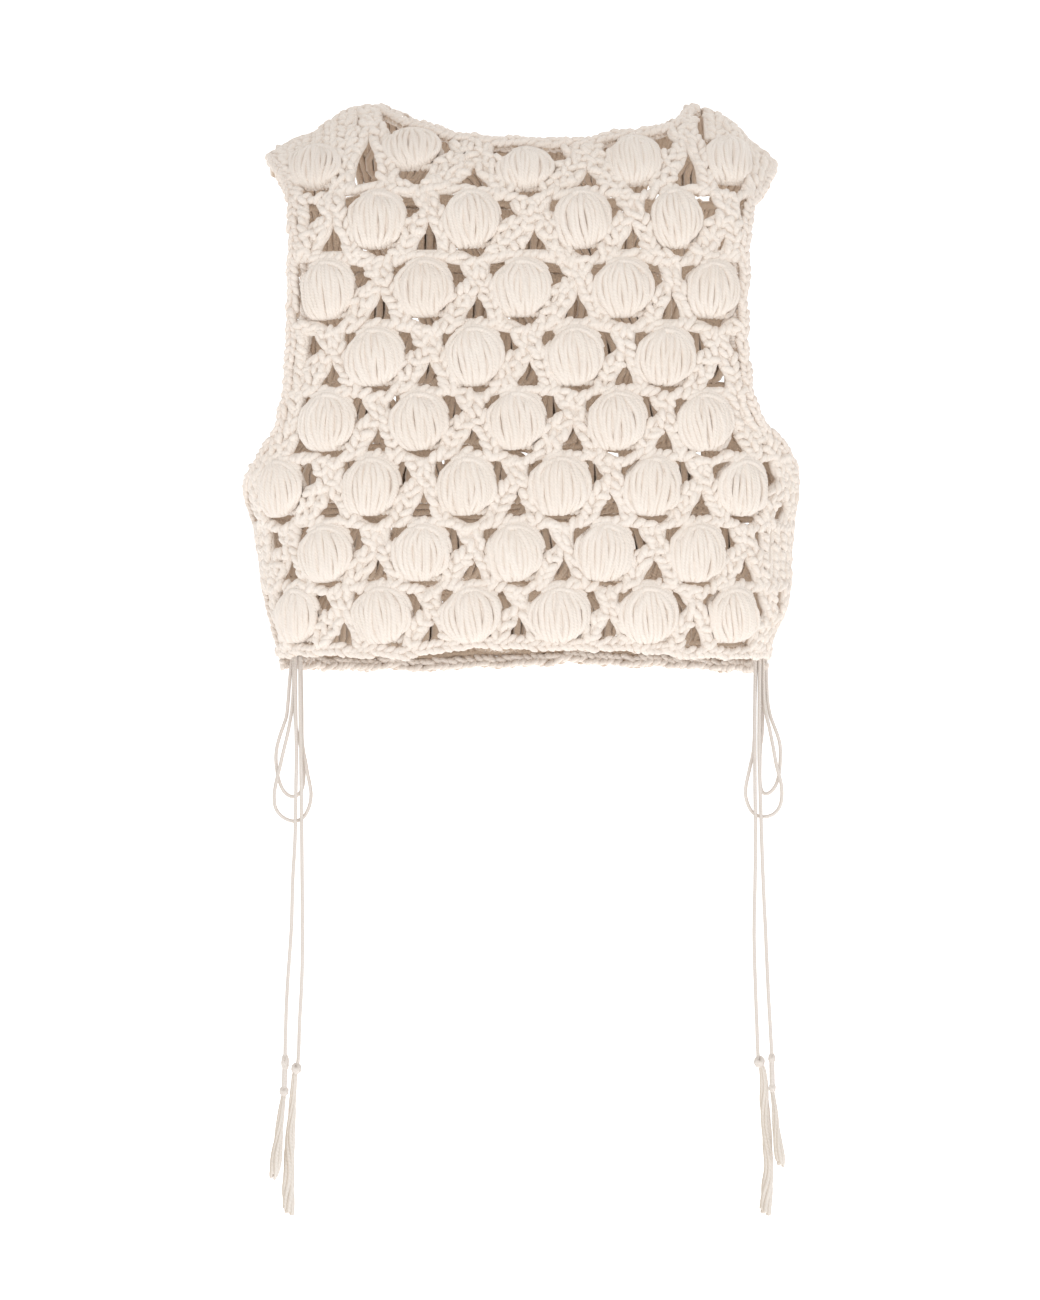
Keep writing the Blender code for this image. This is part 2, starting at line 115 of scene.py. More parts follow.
def joined(keys: Array, values: Array, places: Array) -> Array:
    """Read values between their keys on a cubic that never overshoots.

    The slope at a key is the harmonic mean of the two rises beside it, or 0 where they
    differ in sign.

    Args:
        keys: Rising places of the values.
        values: One value for each key.
        places: Where to read; a place past either end reads that end.

    Returns:
        The values at the places.
    """
    step = np.diff(keys)
    rise = np.diff(values) / step
    product = rise[:-1] * rise[1:]
    total = rise[:-1] + rise[1:]
    inner = np.where(product > 0, 2 * product / np.where(total == 0, 1, total), 0)
    slope = np.concatenate([rise[:1], inner, rise[-1:]])
    at = np.clip(np.asarray(places, float), keys[0], keys[-1])
    i = np.clip(np.searchsorted(keys, at) - 1, 0, len(step) - 1)
    t = (at - keys[i]) / step[i]
    start = (1 + 2 * t) * (1 - t) ** 2 * values[i] + t * (1 - t) ** 2 * step[i] * slope[i]
    end = t**2 * (3 - 2 * t) * values[i + 1] - t**2 * (1 - t) * step[i] * slope[i + 1]
    return start + end


def read(rows: tuple, column: str, at: Array) -> Array:
    """Read one column of a table at any places along its first column."""
    return joined(np.array([row[0] for row in rows]), np.array([getattr(row, column) for row in rows]), at)


def by_side(rows: tuple, x: Array, at: Array) -> Array:
    """Read a table's left column where x is negative, and its right one elsewhere."""
    return np.where(np.asarray(x) < 0, read(rows, "left", at), read(rows, "right", at))


def dense_first(first: float, last: float, count: int) -> Array:
    """Numbers from one to another, closer together near the first, as the cosine's are."""
    return first + (last - first) * (1 - np.cos(np.linspace(0, math.pi / 2, count)))


def signed_power(values: Array, power: float) -> Array:
    """A power of each value's size, with the value's sign."""
    return np.sign(values) * np.abs(values) ** power


def domed(share: Array, least: float) -> Array:
    """A half ellipse over shares from -1 to 1: 1 in the middle, and the least at the ends."""
    return least + (1 - least) * np.sqrt(1 - share**2)


def humped(offset: Array, half: float) -> Array:
    """A squared cosine: 1 at an offset of 0, and 0 from half a width on."""
    return np.cos(math.pi / 2 * np.clip(offset / half, -1, 1)) ** 2


def unit(vectors: Array) -> Array:
    """Scale vectors to length 1."""
    return vectors / np.maximum(np.linalg.norm(vectors, axis=-1, keepdims=True), 1e-12)


@dataclass(frozen=True)
class Form:
    """The rounded body form: superellipse sections that close at the shoulders like a quarter circle."""

    power: float = 2.6
    shoulder_round: float = 100 * MM
    tip_x: float = 192 * MM
    front_hem: float = 424.7 * MM
    back_hem: float = 434.2 * MM
    underarm: float = 306 * MM
    side_half_gap: float = 17.5 * MM
    probe: float = 0.02 * MM  # step that slopes are taken over
    sections: tuple[Section, ...] = (
        Section(-0.02, 0.24, 0.24, 0.062), Section(0.05, 0.236, 0.236, 0.086),
        Section(0.12, 0.228, 0.228, 0.101), Section(0.2, 0.222, 0.222, 0.11),
        Section(0.29, 0.2155, 0.213, 0.113), Section(0.306, 0.213, 0.2115, 0.1125),
        Section(0.33, 0.205, 0.2075, 0.111), Section(0.385, 0.197, 0.2045, 0.106),
        Section(0.425, 0.187, 0.1895, 0.101), Section(0.45, 0.179, 0.185, 0.098),
    )
    shoulders: tuple[Reach, ...] = (
        Reach(0, 0, 0), Reach(0.11, 0.006, 0.005), Reach(0.13, 0.008, 0.005),
        Reach(0.145, 0.0155, 0.0095), Reach(0.16, 0.0265, 0.0175), Reach(0.175, 0.0325, 0.033),
        Reach(0.192, 0.041, 0.0455), Reach(0.21, 0.052, 0.059),
    )
    neck: tuple[Edge, ...] = (  # drops of the neck edge
        Edge(-0.12, 0.004, 0.004), Edge(-0.1, 0.019, 0.0107), Edge(-0.072, 0.0305, 0.0205),
        Edge(-0.04, 0.0405, 0.027), Edge(0, 0.0435, 0.029), Edge(0.036, 0.0443, 0.0293),
        Edge(0.058, 0.041, 0.0272), Edge(0.076, 0.0365, 0.0245), Edge(0.1, 0.0335, 0.0222),
        Edge(0.118, 0.0275, 0.018), Edge(0.131, 0.017, 0.011), Edge(0.14, 0.004, 0.004),
    )
    hem_rises: tuple[Edge, ...] = (  # how much higher the lower edges hang
        Edge(-0.188, 0, 0), Edge(-0.165, 0.0014, -0.0006), Edge(-0.141, 0.0008, -0.0022),
        Edge(-0.118, 0, -0.0016), Edge(-0.094, -0.0014, -0.0012), Edge(-0.0745, 0.0012, -0.0028),
        Edge(-0.052, 0.005, 0), Edge(-0.0235, 0.0067, 0.001), Edge(0.0114, 0.0054, 0.0018),
        Edge(0.045, 0.0046, 0.0048), Edge(0.0712, 0.0054, 0.0014), Edge(0.0984, 0.0027, 0.0012),
        Edge(0.124, -0.0014, 0.0004), Edge(0.15, -0.0016, -0.0014), Edge(0.18, -0.001, -0.0028),
    )
    armholes: tuple[Reach, ...] = (
        Reach(0.041, 0.192, 0.192), Reach(0.06, 0.1815, 0.1865), Reach(0.08, 0.1722, 0.1735),
        Reach(0.11, 0.1702, 0.1662), Reach(0.19, 0.1712, 0.1637), Reach(0.232, 0.1752, 0.1684),
        Reach(0.258, 0.18, 0.1785), Reach(0.277, 0.1925, 0.1985), Reach(0.292, 0.2045, 0.2075),
        Reach(0.306, 0.2123, 0.2108),
    )

    def side_line(self, x: Array, drop: Array) -> Array:
        """Half width of the level section at the side that x is on."""
        return by_side(self.sections, x, drop)

    def shoulder(self, x: Array) -> Array:
        """Drop of the shoulder line at x."""
        return by_side(self.shoulders, x, np.abs(x))

    def full_depth(self, x: Array, drop: Array) -> Array:
        """Half depth of the level section at x, before the shoulders close it."""
        share = np.clip(np.abs(x) / self.side_line(x, drop), 0, 0.9999)
        return read(self.sections, "depth", drop) * self.across(share)

    def across(self, share: Array) -> Array:
        """A superellipse's height at a share of its half width, or the other way about."""
        return (1 - share**self.power) ** (1 / self.power)

    def closing(self, x: Array, drop: Array) -> Array:
        """How near the shoulder line is: 1 on it, and 0 a round's depth below it."""
        return np.clip(1 - (drop - self.shoulder(x)) / self.shoulder_round, 0, 1)

    def level(self, points: Array) -> Array:
        """A number that is 1 on the form and grows outwards from it."""
        x, y, drop = points[..., 0], points[..., 1], -points[..., 2]
        return (y / self.full_depth(x, drop)) ** 2 + self.closing(x, drop) ** 2

    def outward(self, points: Array) -> Array:
        """Unit normals at points on the form, from the slope of level() along each axis."""
        steps = self.probe * np.eye(3)
        slope = [self.level(points + step) - self.level(points - step) for step in steps]
        return unit(np.stack(slope, axis=-1))

    def point(self, x: Array, drop: Array, facing: Facing) -> Array:
        """The point of a panel's middle at x and a drop."""
        x, drop = np.broadcast_arrays(x, drop)
        depth = self.full_depth(x, drop) * np.sqrt(1 - self.closing(x, drop) ** 2)
        return np.stack([x, facing.value * depth, -drop], axis=-1)

    def place(self, x: Array, drop: Array, facing: Facing, out: Array) -> Array:
        """A point at a height out of a panel's middle."""
        base = self.point(x, drop, facing)
        return base + self.outward(base) * np.asarray(out)[..., None]

    def reach(self, hand: Hand, drop: Array) -> Array:
        """Distance from the middle to a panel's edge: the armhole's, then the open side's."""
        share = self.side_half_gap / read(self.sections, "depth", drop)
        open_side = self.side_line(hand.value, drop) * self.across(share)
        armhole = by_side(self.armholes, hand.value, drop)
        return np.where(np.asarray(drop) < self.underarm, armhole, open_side)

    def edges(self, drop: Array, more: Array | float = 0.0) -> list[Array]:
        """The x of a panel's left and right edges, or of places by some more outside them."""
        return [hand.value * (self.reach(hand, drop) + more) for hand in Hand]

    def hem(self, facing: Facing) -> float:
        """Drop of a panel's lower edge as it was worked."""
        return self.front_hem if facing is Facing.FRONT else self.back_hem

    def hem_at(self, x: Array, facing: Facing) -> Array:
        """Drop of a panel's lower edge as it hangs at x."""
        return self.hem(facing) - read(self.hem_rises, facing.name.lower(), x)

    def neck_drop(self, x: Array, facing: Facing) -> Array:
        """Drop of the neck edge at x."""
        return read(self.neck, facing.name.lower(), x)

    def at_neck(self, x: float) -> bool:
        """Whether x is within the neck's width."""
        return self.neck[0].x < x < self.neck[-1].x


# ---- Lines and meshes ----------------------------------------------------------------


@dataclass
class Surface:
    """Points with quads and triangles over them, and two numbers for each corner of a face."""

    points: Array
    quads: Array
    quad_uv: Array
    tris: Array
    tri_uv: Array


def along(points: Array) -> Array:
    """Distance of each point from the first, along the last axis but one."""
    steps = np.linalg.norm(np.diff(points, axis=-2), axis=-1)
    start = np.zeros(steps.shape[:-1] + (1,))
    return np.concatenate([start, np.cumsum(steps, axis=-1)], axis=-1)


def heading(points: Array, closed: bool = False) -> Array:
    """Unit direction of a line at each of its points."""
    if closed:
        return unit(np.roll(points, -1, axis=-2) - np.roll(points, 1, axis=-2))
    return unit(np.gradient(points, axis=-2))


def at_run(places: Array, run: Array, values: Array) -> Array:
    """Read a line's points or directions at distances along it."""
    return np.stack([np.interp(places, run, values[:, axis]) for axis in range(3)], axis=-1)


def evenly(points: Array, step: float, closed: bool = False) -> Array:
    """Points an equal distance apart along a line, about a step from one to the next."""
    if closed:
        points = np.concatenate([points, points[:1]])
    run = along(points)
    count = max(int(round(run[-1] / step)), 3)
    at = np.linspace(0, run[-1], count + 1)
    return at_run(at[:-1] if closed else at, run, points)


def eased(points: Array, rounds: int, closed: bool = False) -> Array:
    """Round a line's corners: each point moves half way to the middle of its neighbours, over and over."""
    for _ in range(rounds):
        before, after = np.roll(points, 1, axis=0), np.roll(points, -1, axis=0)
        moved = points / 2 + (before + after) / 4
        if not closed:
            moved[0], moved[-1] = points[0], points[-1]
        points = moved
    return points


def tubes(points: Array, side: Array, radius: Array | float, sides: int = 6, closed: bool = False) -> Surface:
    """Skin many strands at once.

    A ring round a strand's point has its first corner towards the strand's side direction,
    squared to the strand, and turns about it. An open strand ends in a low cone at each end.

    Args:
        points: Middle of each strand, as strands x rings x 3.
        side: A direction across each strand at each ring, the same shape.
        radius: Of the yarn, one number or strands x rings.
        sides: Corners of a ring.
        closed: The last ring is followed by the first.

    Returns:
        The surface. Its corner numbers are the distance along the strand, in metres, and the
        share of a turn round it.
    """
    strands, rings = points.shape[:2]
    radius = np.broadcast_to(radius, (strands, rings))
    ahead = heading(points, closed)
    first = unit(side - ahead * np.sum(side * ahead, axis=-1, keepdims=True))
    second = np.cross(ahead, first)
    angle = TURN * np.arange(sides) / sides
    ring = first[:, :, None] * np.cos(angle)[:, None] + second[:, :, None] * np.sin(angle)[:, None]
    flat = (points[:, :, None] + ring * radius[:, :, None, None]).reshape(-1, 3)
    index = np.arange(strands * rings * sides).reshape(strands, rings, sides)
    here, there = (index, np.roll(index, -1, axis=1)) if closed else (index[:, :-1], index[:, 1:])
    quads = np.stack([here, np.roll(here, -1, 2), np.roll(there, -1, 2), there], axis=-1).reshape(-1, 4)
    run = along(np.concatenate([points, points[:, :1]], axis=1) if closed else points)
    share = np.arange(sides + 1) / sides
    low, high, near, far = run[:, :-1, None], run[:, 1:, None], share[:-1], share[1:]
    corners = ((low, near), (low, far), (high, far), (high, near))
    corners = [np.stack(np.broadcast_arrays(*corner), axis=-1) for corner in corners]
    quad_uv = np.stack(corners, axis=-2).reshape(-1, 4, 2)
    if closed:
        return Surface(flat, quads, quad_uv, np.zeros((0, 3), int), np.zeros((0, 3, 2)))
    start_pole = points[:, 0] - ahead[:, 0] * radius[:, :1] * 0.5
    end_pole = points[:, -1] + ahead[:, -1] * radius[:, -1:] * 0.5
    pole = len(flat) + np.arange(2 * strands).reshape(strands, 2, 1) + np.zeros(sides, int)
    start, end = index[:, 0], index[:, -1]
    caps = [(pole[:, 0], np.roll(start, -1, 1), start), (pole[:, 1], end, np.roll(end, -1, 1))]
    tris = np.concatenate([np.stack(cap, axis=-1).reshape(-1, 3) for cap in caps])
    ends = np.concatenate([np.zeros(strands * sides), np.repeat(run[:, -1], sides)])
    tri_uv = np.stack([np.repeat(ends[:, None], 3, 1), np.zeros((len(ends), 3))], axis=-1)
    flat = np.concatenate([flat, np.stack([start_pole, end_pole], axis=1).reshape(-1, 3)])
    return Surface(flat, quads, quad_uv, tris, tri_uv)


def put(name: str, data: bpy.types.ID) -> Piece:
    """Add an object to the scene."""
    made = bpy.data.objects.new(name, data)
    bpy.context.scene.collection.objects.link(made)
    return made


def add_mesh(name: str, surfaces: list[Surface], material: Material) -> Piece:
    """Put surfaces into one mesh object that rides on the top.

    Args:
        name: Of the piece.
        surfaces: Its surfaces.
        material: Its finish.

    Returns:
        The object, at the origin.
    """
    starts = np.cumsum([0] + [len(part.points) for part in surfaces])
    points = np.concatenate([part.points for part in surfaces])
    quads = np.concatenate([part.quads + start for part, start in zip(surfaces, starts)])
    tris = np.concatenate([part.tris + start for part, start in zip(surfaces, starts)])
    corners = np.concatenate([quads.ravel(), tris.ravel()])
    uv = [part.quad_uv.ravel() for part in surfaces] + [part.tri_uv.ravel() for part in surfaces]
    sizes = np.repeat([4, 3], [len(quads), len(tris)])
    mesh = bpy.data.meshes.new(name)
    mesh.vertices.add(len(points))
    mesh.vertices.foreach_set("co", points.astype(np.float32).ravel())
    mesh.loops.add(len(corners))
    mesh.loops.foreach_set("vertex_index", corners.astype(np.int32))
    mesh.polygons.add(len(sizes))
    mesh.polygons.foreach_set("loop_start", (np.cumsum(sizes) - sizes).astype(np.int32))
    mesh.uv_layers.new(name="yarn").data.foreach_set("uv", np.concatenate(uv).astype(np.float32))
    mesh.update(calc_edges=True)
    mesh.validate()
    mesh.shade_smooth()
    mesh.materials.append(material)
    piece = put(name, mesh)
    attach(piece, ROOT)
    LOG.info("%s: %d triangles", name, 2 * len(quads) + len(tris))
    return piece


def in_place_of(node: str, kind: str, surfaces: list[Surface], material: Material) -> Piece:
    """Make a piece that replaces a CAD node, and is named after it and after its own kind."""
    piece = add_mesh(f"{node}_{kind}", surfaces, material)
    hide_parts(node)
    return piece


# ---- Finishes ------------------------------------------------------------------------


class Maths:
    """A shader socket that takes Python's operators, and adds a Math node for each."""

    def __init__(self, shader: "Shader", socket: bpy.types.NodeSocket) -> None:
        """Wrap a socket of a shader's own tree."""
        self.shader = shader
        self.socket = socket

    def through(self, operation: str, *others: "Maths | float") -> "Maths":
        """This value through a Math node, with any others after it."""
        values = {0: self} | {i: other for i, other in enumerate(others, 1)}
        return self.shader.node("Math", values, {"operation": operation})

    def clipped(self) -> "Maths":
        """This value, kept from 0 to 1."""
        return self.through("MINIMUM", 1.0).through("MAXIMUM", 0.0)

    def __add__(self, other: "Maths | float") -> "Maths":
        """Sum."""
        return self.through("ADD", other)

    def __mul__(self, other: "Maths | float") -> "Maths":
        """Product."""
        return self.through("MULTIPLY", other)

    def __sub__(self, other: "Maths | float") -> "Maths":
        """Difference."""
        return self.through("SUBTRACT", other)


class Shader:
    """A material's node tree, with one method that makes any node."""

    def __init__(self, name: str) -> None:
        """Start a material with a Principled BSDF."""
        self.material = bpy.data.materials.new(name)
        self.material.use_nodes = True
        self.tree = self.material.node_tree

    def shine(self, key: str, value: object) -> None:
        """Link or set an input of the Principled BSDF."""
        self.feed(self.tree.nodes["Principled BSDF"].inputs[key], value)

    def node(self, kind: str, values: dict, settings: dict | None = None, out: int | str = 0) -> Maths:
        """Add a node.

        Args:
            kind: The node's type, after "ShaderNode".
            values: A value or a link for each input, by name or number.
            settings: Its own settings, which are set first.
            out: The output that is used.

        Returns:
            The output, wrapped.
        """
        node = self.tree.nodes.new("ShaderNode" + kind)
        for key, value in (settings or {}).items():
            setattr(node, key, value)
        for key, value in values.items():
            self.feed(node.inputs[key], value)
        return Maths(self, node.outputs[out])

    def feed(self, socket: bpy.types.NodeSocket, value: object) -> None:
        """Link an input, or set its value."""
        if isinstance(value, Maths):
            self.tree.links.new(value.socket, socket)
        else:
            socket.default_value = value

    def blend(self, share: Maths, low: object, high: object) -> Maths:
        """A colour between two, by a share from 0 to 1."""
        return self.node("Mix", {0: share, 6: low, 7: high}, {"data_type": "RGBA"}, 2)


class Colour(NamedTuple):
    """A linear colour."""

    red: float
    green: float
    blue: float
    alpha: float = 1.0


@dataclass(frozen=True)
class YarnFinish:
    """Matt cotton yarn: plies that wind round the strand, loose fibres and a little unevenness."""

    name: str
    pale: Colour
    deep: Colour
    # painted shade: the colour of the strand's inner side, standing in for the shade inside the cloth and
    # between strands
    inner: Colour = Colour(0.60, 0.47, 0.36)
    ply_pitch: float = 7.0 * MM  # along the strand, for one whole turn of the plies
    plies: int = 3
    ply_height: float = 0.18 * MM
    fibre_height: float = 0.08 * MM
    roughness: float = 0.92
    sheen: float = 0.25
    drift: float = 1.1  # parts that the slow drift, the specks and the plies have in the paleness
    speck: float = 0.5
    # painted shade: the plies' part makes the grooves between the plies deeper in colour
    ply_groove_shade: float = 0.24
    darker: float = 0.45  # and what is taken off their sum

    def make(self) -> Material:
        """Build the material.

        The plies are a sine of the distance along the strand and the turn round it. Fibres
        are fine noise drawn out along the strand. The colour drifts slowly over the cloth, and
        shade is painted into it: a deep tan on the strand's inner side, which faces into the
        cloth, and a little of that tan on the flanks where strands touch.
        """
        shader = Shader(self.name)
        place = shader.node("TexCoord", {}, out="Object")

        def noise(scale: float, detail: float, roughness: float = 0.5) -> Maths:
            """Noise over the cloth."""
            values = {"Vector": place, "Scale": scale, "Detail": detail, "Roughness": roughness}
            return shader.node("TexNoise", values)

        strand = shader.node("UVMap", {}, {"uv_map": "yarn"})
        run = shader.node("SeparateXYZ", {0: strand})
        turn = Maths(shader, run.socket.node.outputs[1])
        wind = run * (TURN * self.plies / self.ply_pitch) + turn * (TURN * self.plies)
        ply = wind.through("SINE") * 0.5 + 0.5
        drift, speck, fibre = noise(38.0, 3.0), noise(420.0, 2.0), noise(1900.0, 2.0, 0.6)
        # The drift and the specks are the cotton's own unevenness. The plies' part is painted shade, deeper
        # in the grooves between the plies.
        share = (drift * self.drift + speck * self.speck + ply * self.ply_groove_shade - self.darker).clipped()
        cloth = shader.blend(share, self.deep, self.pale)
        # Painted shade: 1 on the strand's outer side, 0.9 on its flanks where strands touch, and 0 on its
        # inner side, which then takes the inner, shaded colour.
        facing = ((turn * TURN).through("SINE") * 1.2 + 0.9).clipped()
        low = shader.node("Bump", {"Strength": 1.0, "Distance": self.ply_height, "Height": ply})
        fine = {"Strength": 1.0, "Distance": self.fibre_height, "Height": fibre, "Normal": low}
        shader.shine("Base Color", shader.blend(facing, self.inner, cloth))
        shader.shine("Normal", shader.node("Bump", fine))
        shader.shine("Roughness", self.roughness)
        shader.shine("Specular IOR Level", 0.2)
        shader.shine("Sheen Weight", self.sheen)
        shader.shine("Sheen Roughness", 0.6)
        return shader.material


# A finish's third colour, where given, is the painted shade of its strands' inner side.
COTTON = YarnFinish("cream_cotton", Colour(0.915, 0.84, 0.77), Colour(0.845, 0.75, 0.665))
EDGE_COTTON = YarnFinish("cream_cotton_edge", Colour(0.915, 0.83, 0.76), Colour(0.835, 0.74, 0.655))
TAIL_COTTON = YarnFinish(
    "cream_cotton_tail", Colour(0.86, 0.80, 0.74), Colour(0.77, 0.70, 0.63), Colour(0.66, 0.57, 0.48),
    ply_pitch=9.0 * MM, ply_height=0.25 * MM,
)
LACE_COTTON = YarnFinish(
    "lace_cotton", Colour(0.84, 0.78, 0.73), Colour(0.74, 0.67, 0.61), Colour(0.74, 0.67, 0.61),
    ply_pitch=4.2 * MM, plies=2, ply_height=0.25 * MM, fibre_height=0.06 * MM,
)


# ---- Worked yarn ---------------------------------------------------------------------


@dataclass(frozen=True)
class Stitches:
    """Short loops of yarn in rows across a strip of cloth, over a few plain strands.

    Each loop stands proud in its middle and dives in at both ends. It is tilted from the
    strip's line, one way in every other column and the other way between.
    """

    length: float = 10.2 * MM
    radius: float = 3.05 * MM
    rise: float = 1.6 * MM
    row: float = 6.4 * MM
    column: float = 6.0 * MM
    tilt: float = 34.0
    inset: float = 1.9 * MM
    bend: float = 1.4 * MM
    uneven: float = 1.5
    rings: int = 6
    sides: int = 6
    loops_out: float = 1.4 * MM  # of the loops' ends out of the cloth's middle
    core_out: float = 0.9 * MM
    core_radius: float = 2.7 * MM
    core_step: float = 4.5 * MM
    core_sides: int = 5

    def loops(self, middle: Array, normal: Array, half: Array, out: float, rng: Random) -> Surface:
        """The loops of a strip.

        A loop's point at a share t from -1/2 to 1/2 is length * t along its own direction,
        bend * (1 - 4 t^2) to its side and rise * (1 - 4 t^2) out of the cloth.

        Args:
            middle: Points of the strip's line, rings x 3.
            normal: Outward direction of the cloth at each.
            half: Half width of the strip at each.
            out: Height of the loops' ends out of the cloth's middle.
            rng: Source of the unevenness.

        Returns:
            The surface.
        """
        run = along(middle)
        rows = max(int(round(run[-1] / self.row)), 1)
        at = (np.arange(rows) + 0.5) * run[-1] / rows
        wide = np.clip(np.interp(at, run, half) - self.inset, 1.5 * MM, None)
        counts = np.maximum(np.round(2 * wide / self.column), 1).astype(int)
        row = np.repeat(np.arange(rows), counts)
        column = np.arange(len(row)) - np.repeat(np.cumsum(counts) - counts, counts)
        total, size = len(row), (len(row), 1)

        def stray(reach: float, shape: int | tuple = total) -> Array:
            """A random number for each loop, up to a reach either way."""
            return self.uneven * rng.uniform(-reach, reach, shape)

        def beside(values: Array) -> Array:
            """Values of the line at each loop, which stands a little off its row."""
            return at_run(at[row] + stray(0.9) * MM, run, values)

        centre, forward, up = beside(middle), unit(beside(heading(middle))), unit(beside(normal))
        lateral = unit(np.cross(up, forward))
        aside = ((2 * column + 1) / counts[row] - 1) * wide[row] + stray(0.7) * MM
        centre = centre + aside[:, None] * lateral
        tilt = np.where((column + (counts[row] > 2) * row) % 2 == 0, self.tilt, -self.tilt)
        angle = np.radians(tilt + stray(16))[:, None]
        line = np.cos(angle) * forward + np.sin(angle) * lateral
        side = np.cross(up, line)
        t = np.linspace(-0.5, 0.5, self.rings)
        arch = 1 - 4 * t**2
        length = self.length * (1 + stray(0.14, size))
        bend = self.bend * rng.uniform(-1, 1, size) * arch
        height = out + self.rise * arch + stray(0.5, size) * MM
        points = centre[:, None] + (length * t)[..., None] * line[:, None]
        points = points + bend[..., None] * side[:, None] + height[..., None] * up[:, None]
        radius = self.radius * (1 - 0.4 * (2 * t) ** 4) * rng.uniform(0.92, 1.08, size)
        return tubes(points, side[:, None], radius, self.sides)

    def cores(self, middle: Array, normal: Array, half: Array, out: float) -> Surface:
        """Plain strands under the loops, side by side across the strip."""
        run = along(middle)
        at = np.linspace(0, run[-1], max(int(round(run[-1] / self.core_step)), 2) + 1)
        line, up = at_run(at, run, middle), at_run(at, run, normal)
        wide = np.clip(np.interp(at, run, half) - 1.1 * self.core_radius, 0.5 * MM, None)
        lateral = unit(np.cross(up, heading(line)))
        strands = max(int(round(2 * wide.max() / (1.9 * self.core_radius))), 1) + 1
        share = np.linspace(-1, 1, strands)[:, None]
        points = line + (share * wide)[..., None] * lateral + out * up
        return tubes(points, lateral, self.core_radius, self.core_sides)

    def strip(self, middle: Array, normal: Array, half: Array, rng: Random) -> list[Surface]:
        """The loops of a strip, and the strands under them."""
        loops = self.loops(middle, normal, half, self.loops_out, rng)
        return [loops, self.cores(middle, normal, half, self.core_out)]


class Puff(NamedTuple):
    """One puff's middle, and its size as a share of a full one."""

    x: float
    drop: float
    wide: float = 1.0
    tall: float = 1.0


Row = tuple[Puff, ...]


class Rim(NamedTuple):
    """A closing loop, from one angle round a puff's rim to another (0 is its top), in degrees and mm."""

    start: float
    end: float
    across: float
    down: float
    out: float


@dataclass(frozen=True)
class PuffShape:
    """A full puff: many loops of yarn drawn up from one place and closed together at the top."""

    half_height: float = 20.2 * MM
    crown: float = 8.0 * MM  # of its outer strands' middles out of the cloth's middle
    under: float = 1.2 * MM  # from the outer strands in to those that fill the puff
    hollow: float = 3.6 * MM  # of its rear strands' middles, the other way
    radius: float = 2.4 * MM
    front_strands: int = 13
    under_strands: int = 9
    rear_strands: int = 7
    rings: int = 12
    sides: int = 6
    spread: float = 3.0 * MM  # of the rear strands past the outline, beside the puff's lower half
    foot_left: float = 0.03  # how much of the height its outer strands lack at the foot
    foot_right: float = 0.33
    start: float = -100  # degrees over the puff at which an outer strand starts
    end: float = 102  # and ends
    late: float = 0.42  # share of the outer strands that start low, out of the puff's inside
    late_start: tuple[float, float] = (-66, -24)
    dive: float = 3.4 * MM  # how far in those start
    dive_fade: float = 1.6  # how fast they come out, for each ring
    lean: tuple[float, float] = (-9, 6)  # degrees
    wander: tuple[float, float] = (0.4, 1.8)  # mm that a strand goes to and fro
    least: float = 0.12  # share of the crown that the side strands have
    least_rear: float = 0.4
    base: float = 0.6 * MM  # of every outer strand out of the cloth's middle
    filling_sides: int = 5
    # Half widths at the left and the right, from the top (-1) to the foot (1).
    outline: tuple[Reach, ...] = (
        Reach(-1, 0.0074, 0.0062), Reach(-0.86, 0.0118, 0.0108), Reach(-0.65, 0.0164, 0.0154),
        Reach(-0.5, 0.0196, 0.018), Reach(-0.35, 0.0213, 0.0198), Reach(0, 0.0216, 0.0213),
        Reach(0.35, 0.0208, 0.0208), Reach(0.62, 0.0188, 0.0186), Reach(0.85, 0.0158, 0.0154),
        Reach(1, 0.013, 0.0124),
    )
    rims: tuple[Rim, ...] = (
        Rim(-12, 96, 18.8, 20.0, 3.4), Rim(16, -62, 15.6, 19.4, 3.0), Rim(-34, 84, 20.6, 22.4, 1.6),
        Rim(-18, 58, 21.6, 24.4, 0.4),
    )

    def half_width(self, share: Array, height: Array) -> Array:
        """Half width on the side that a share is on, at a height from -1 to 1."""
        return by_side(self.outline, share, height)

    def shortened(self, share: Array, height: Array) -> Array:
        """Heights on the puff, less towards the ends of its foot."""
        lack = np.where(share < 0, self.foot_left, self.foot_right)
        return height * (1 - lack * share**2 * np.clip(height, 0, 1))

    @staticmethod
    def over(angle: Array) -> tuple[Array, Array]:
        """Heights on the puff, and shares of its crown, at angles over it.

        They are powers of the angle's sine and cosine, under 1, so the puff is fuller than
        an ellipse.
        """
        return signed_power(np.sin(angle), 0.9), signed_power(np.cos(angle), 0.62)


class Strip(NamedTuple):
    """A strip of stitches: its line, and its half width along it."""

    x: Array
    drop: Array
    half: Array


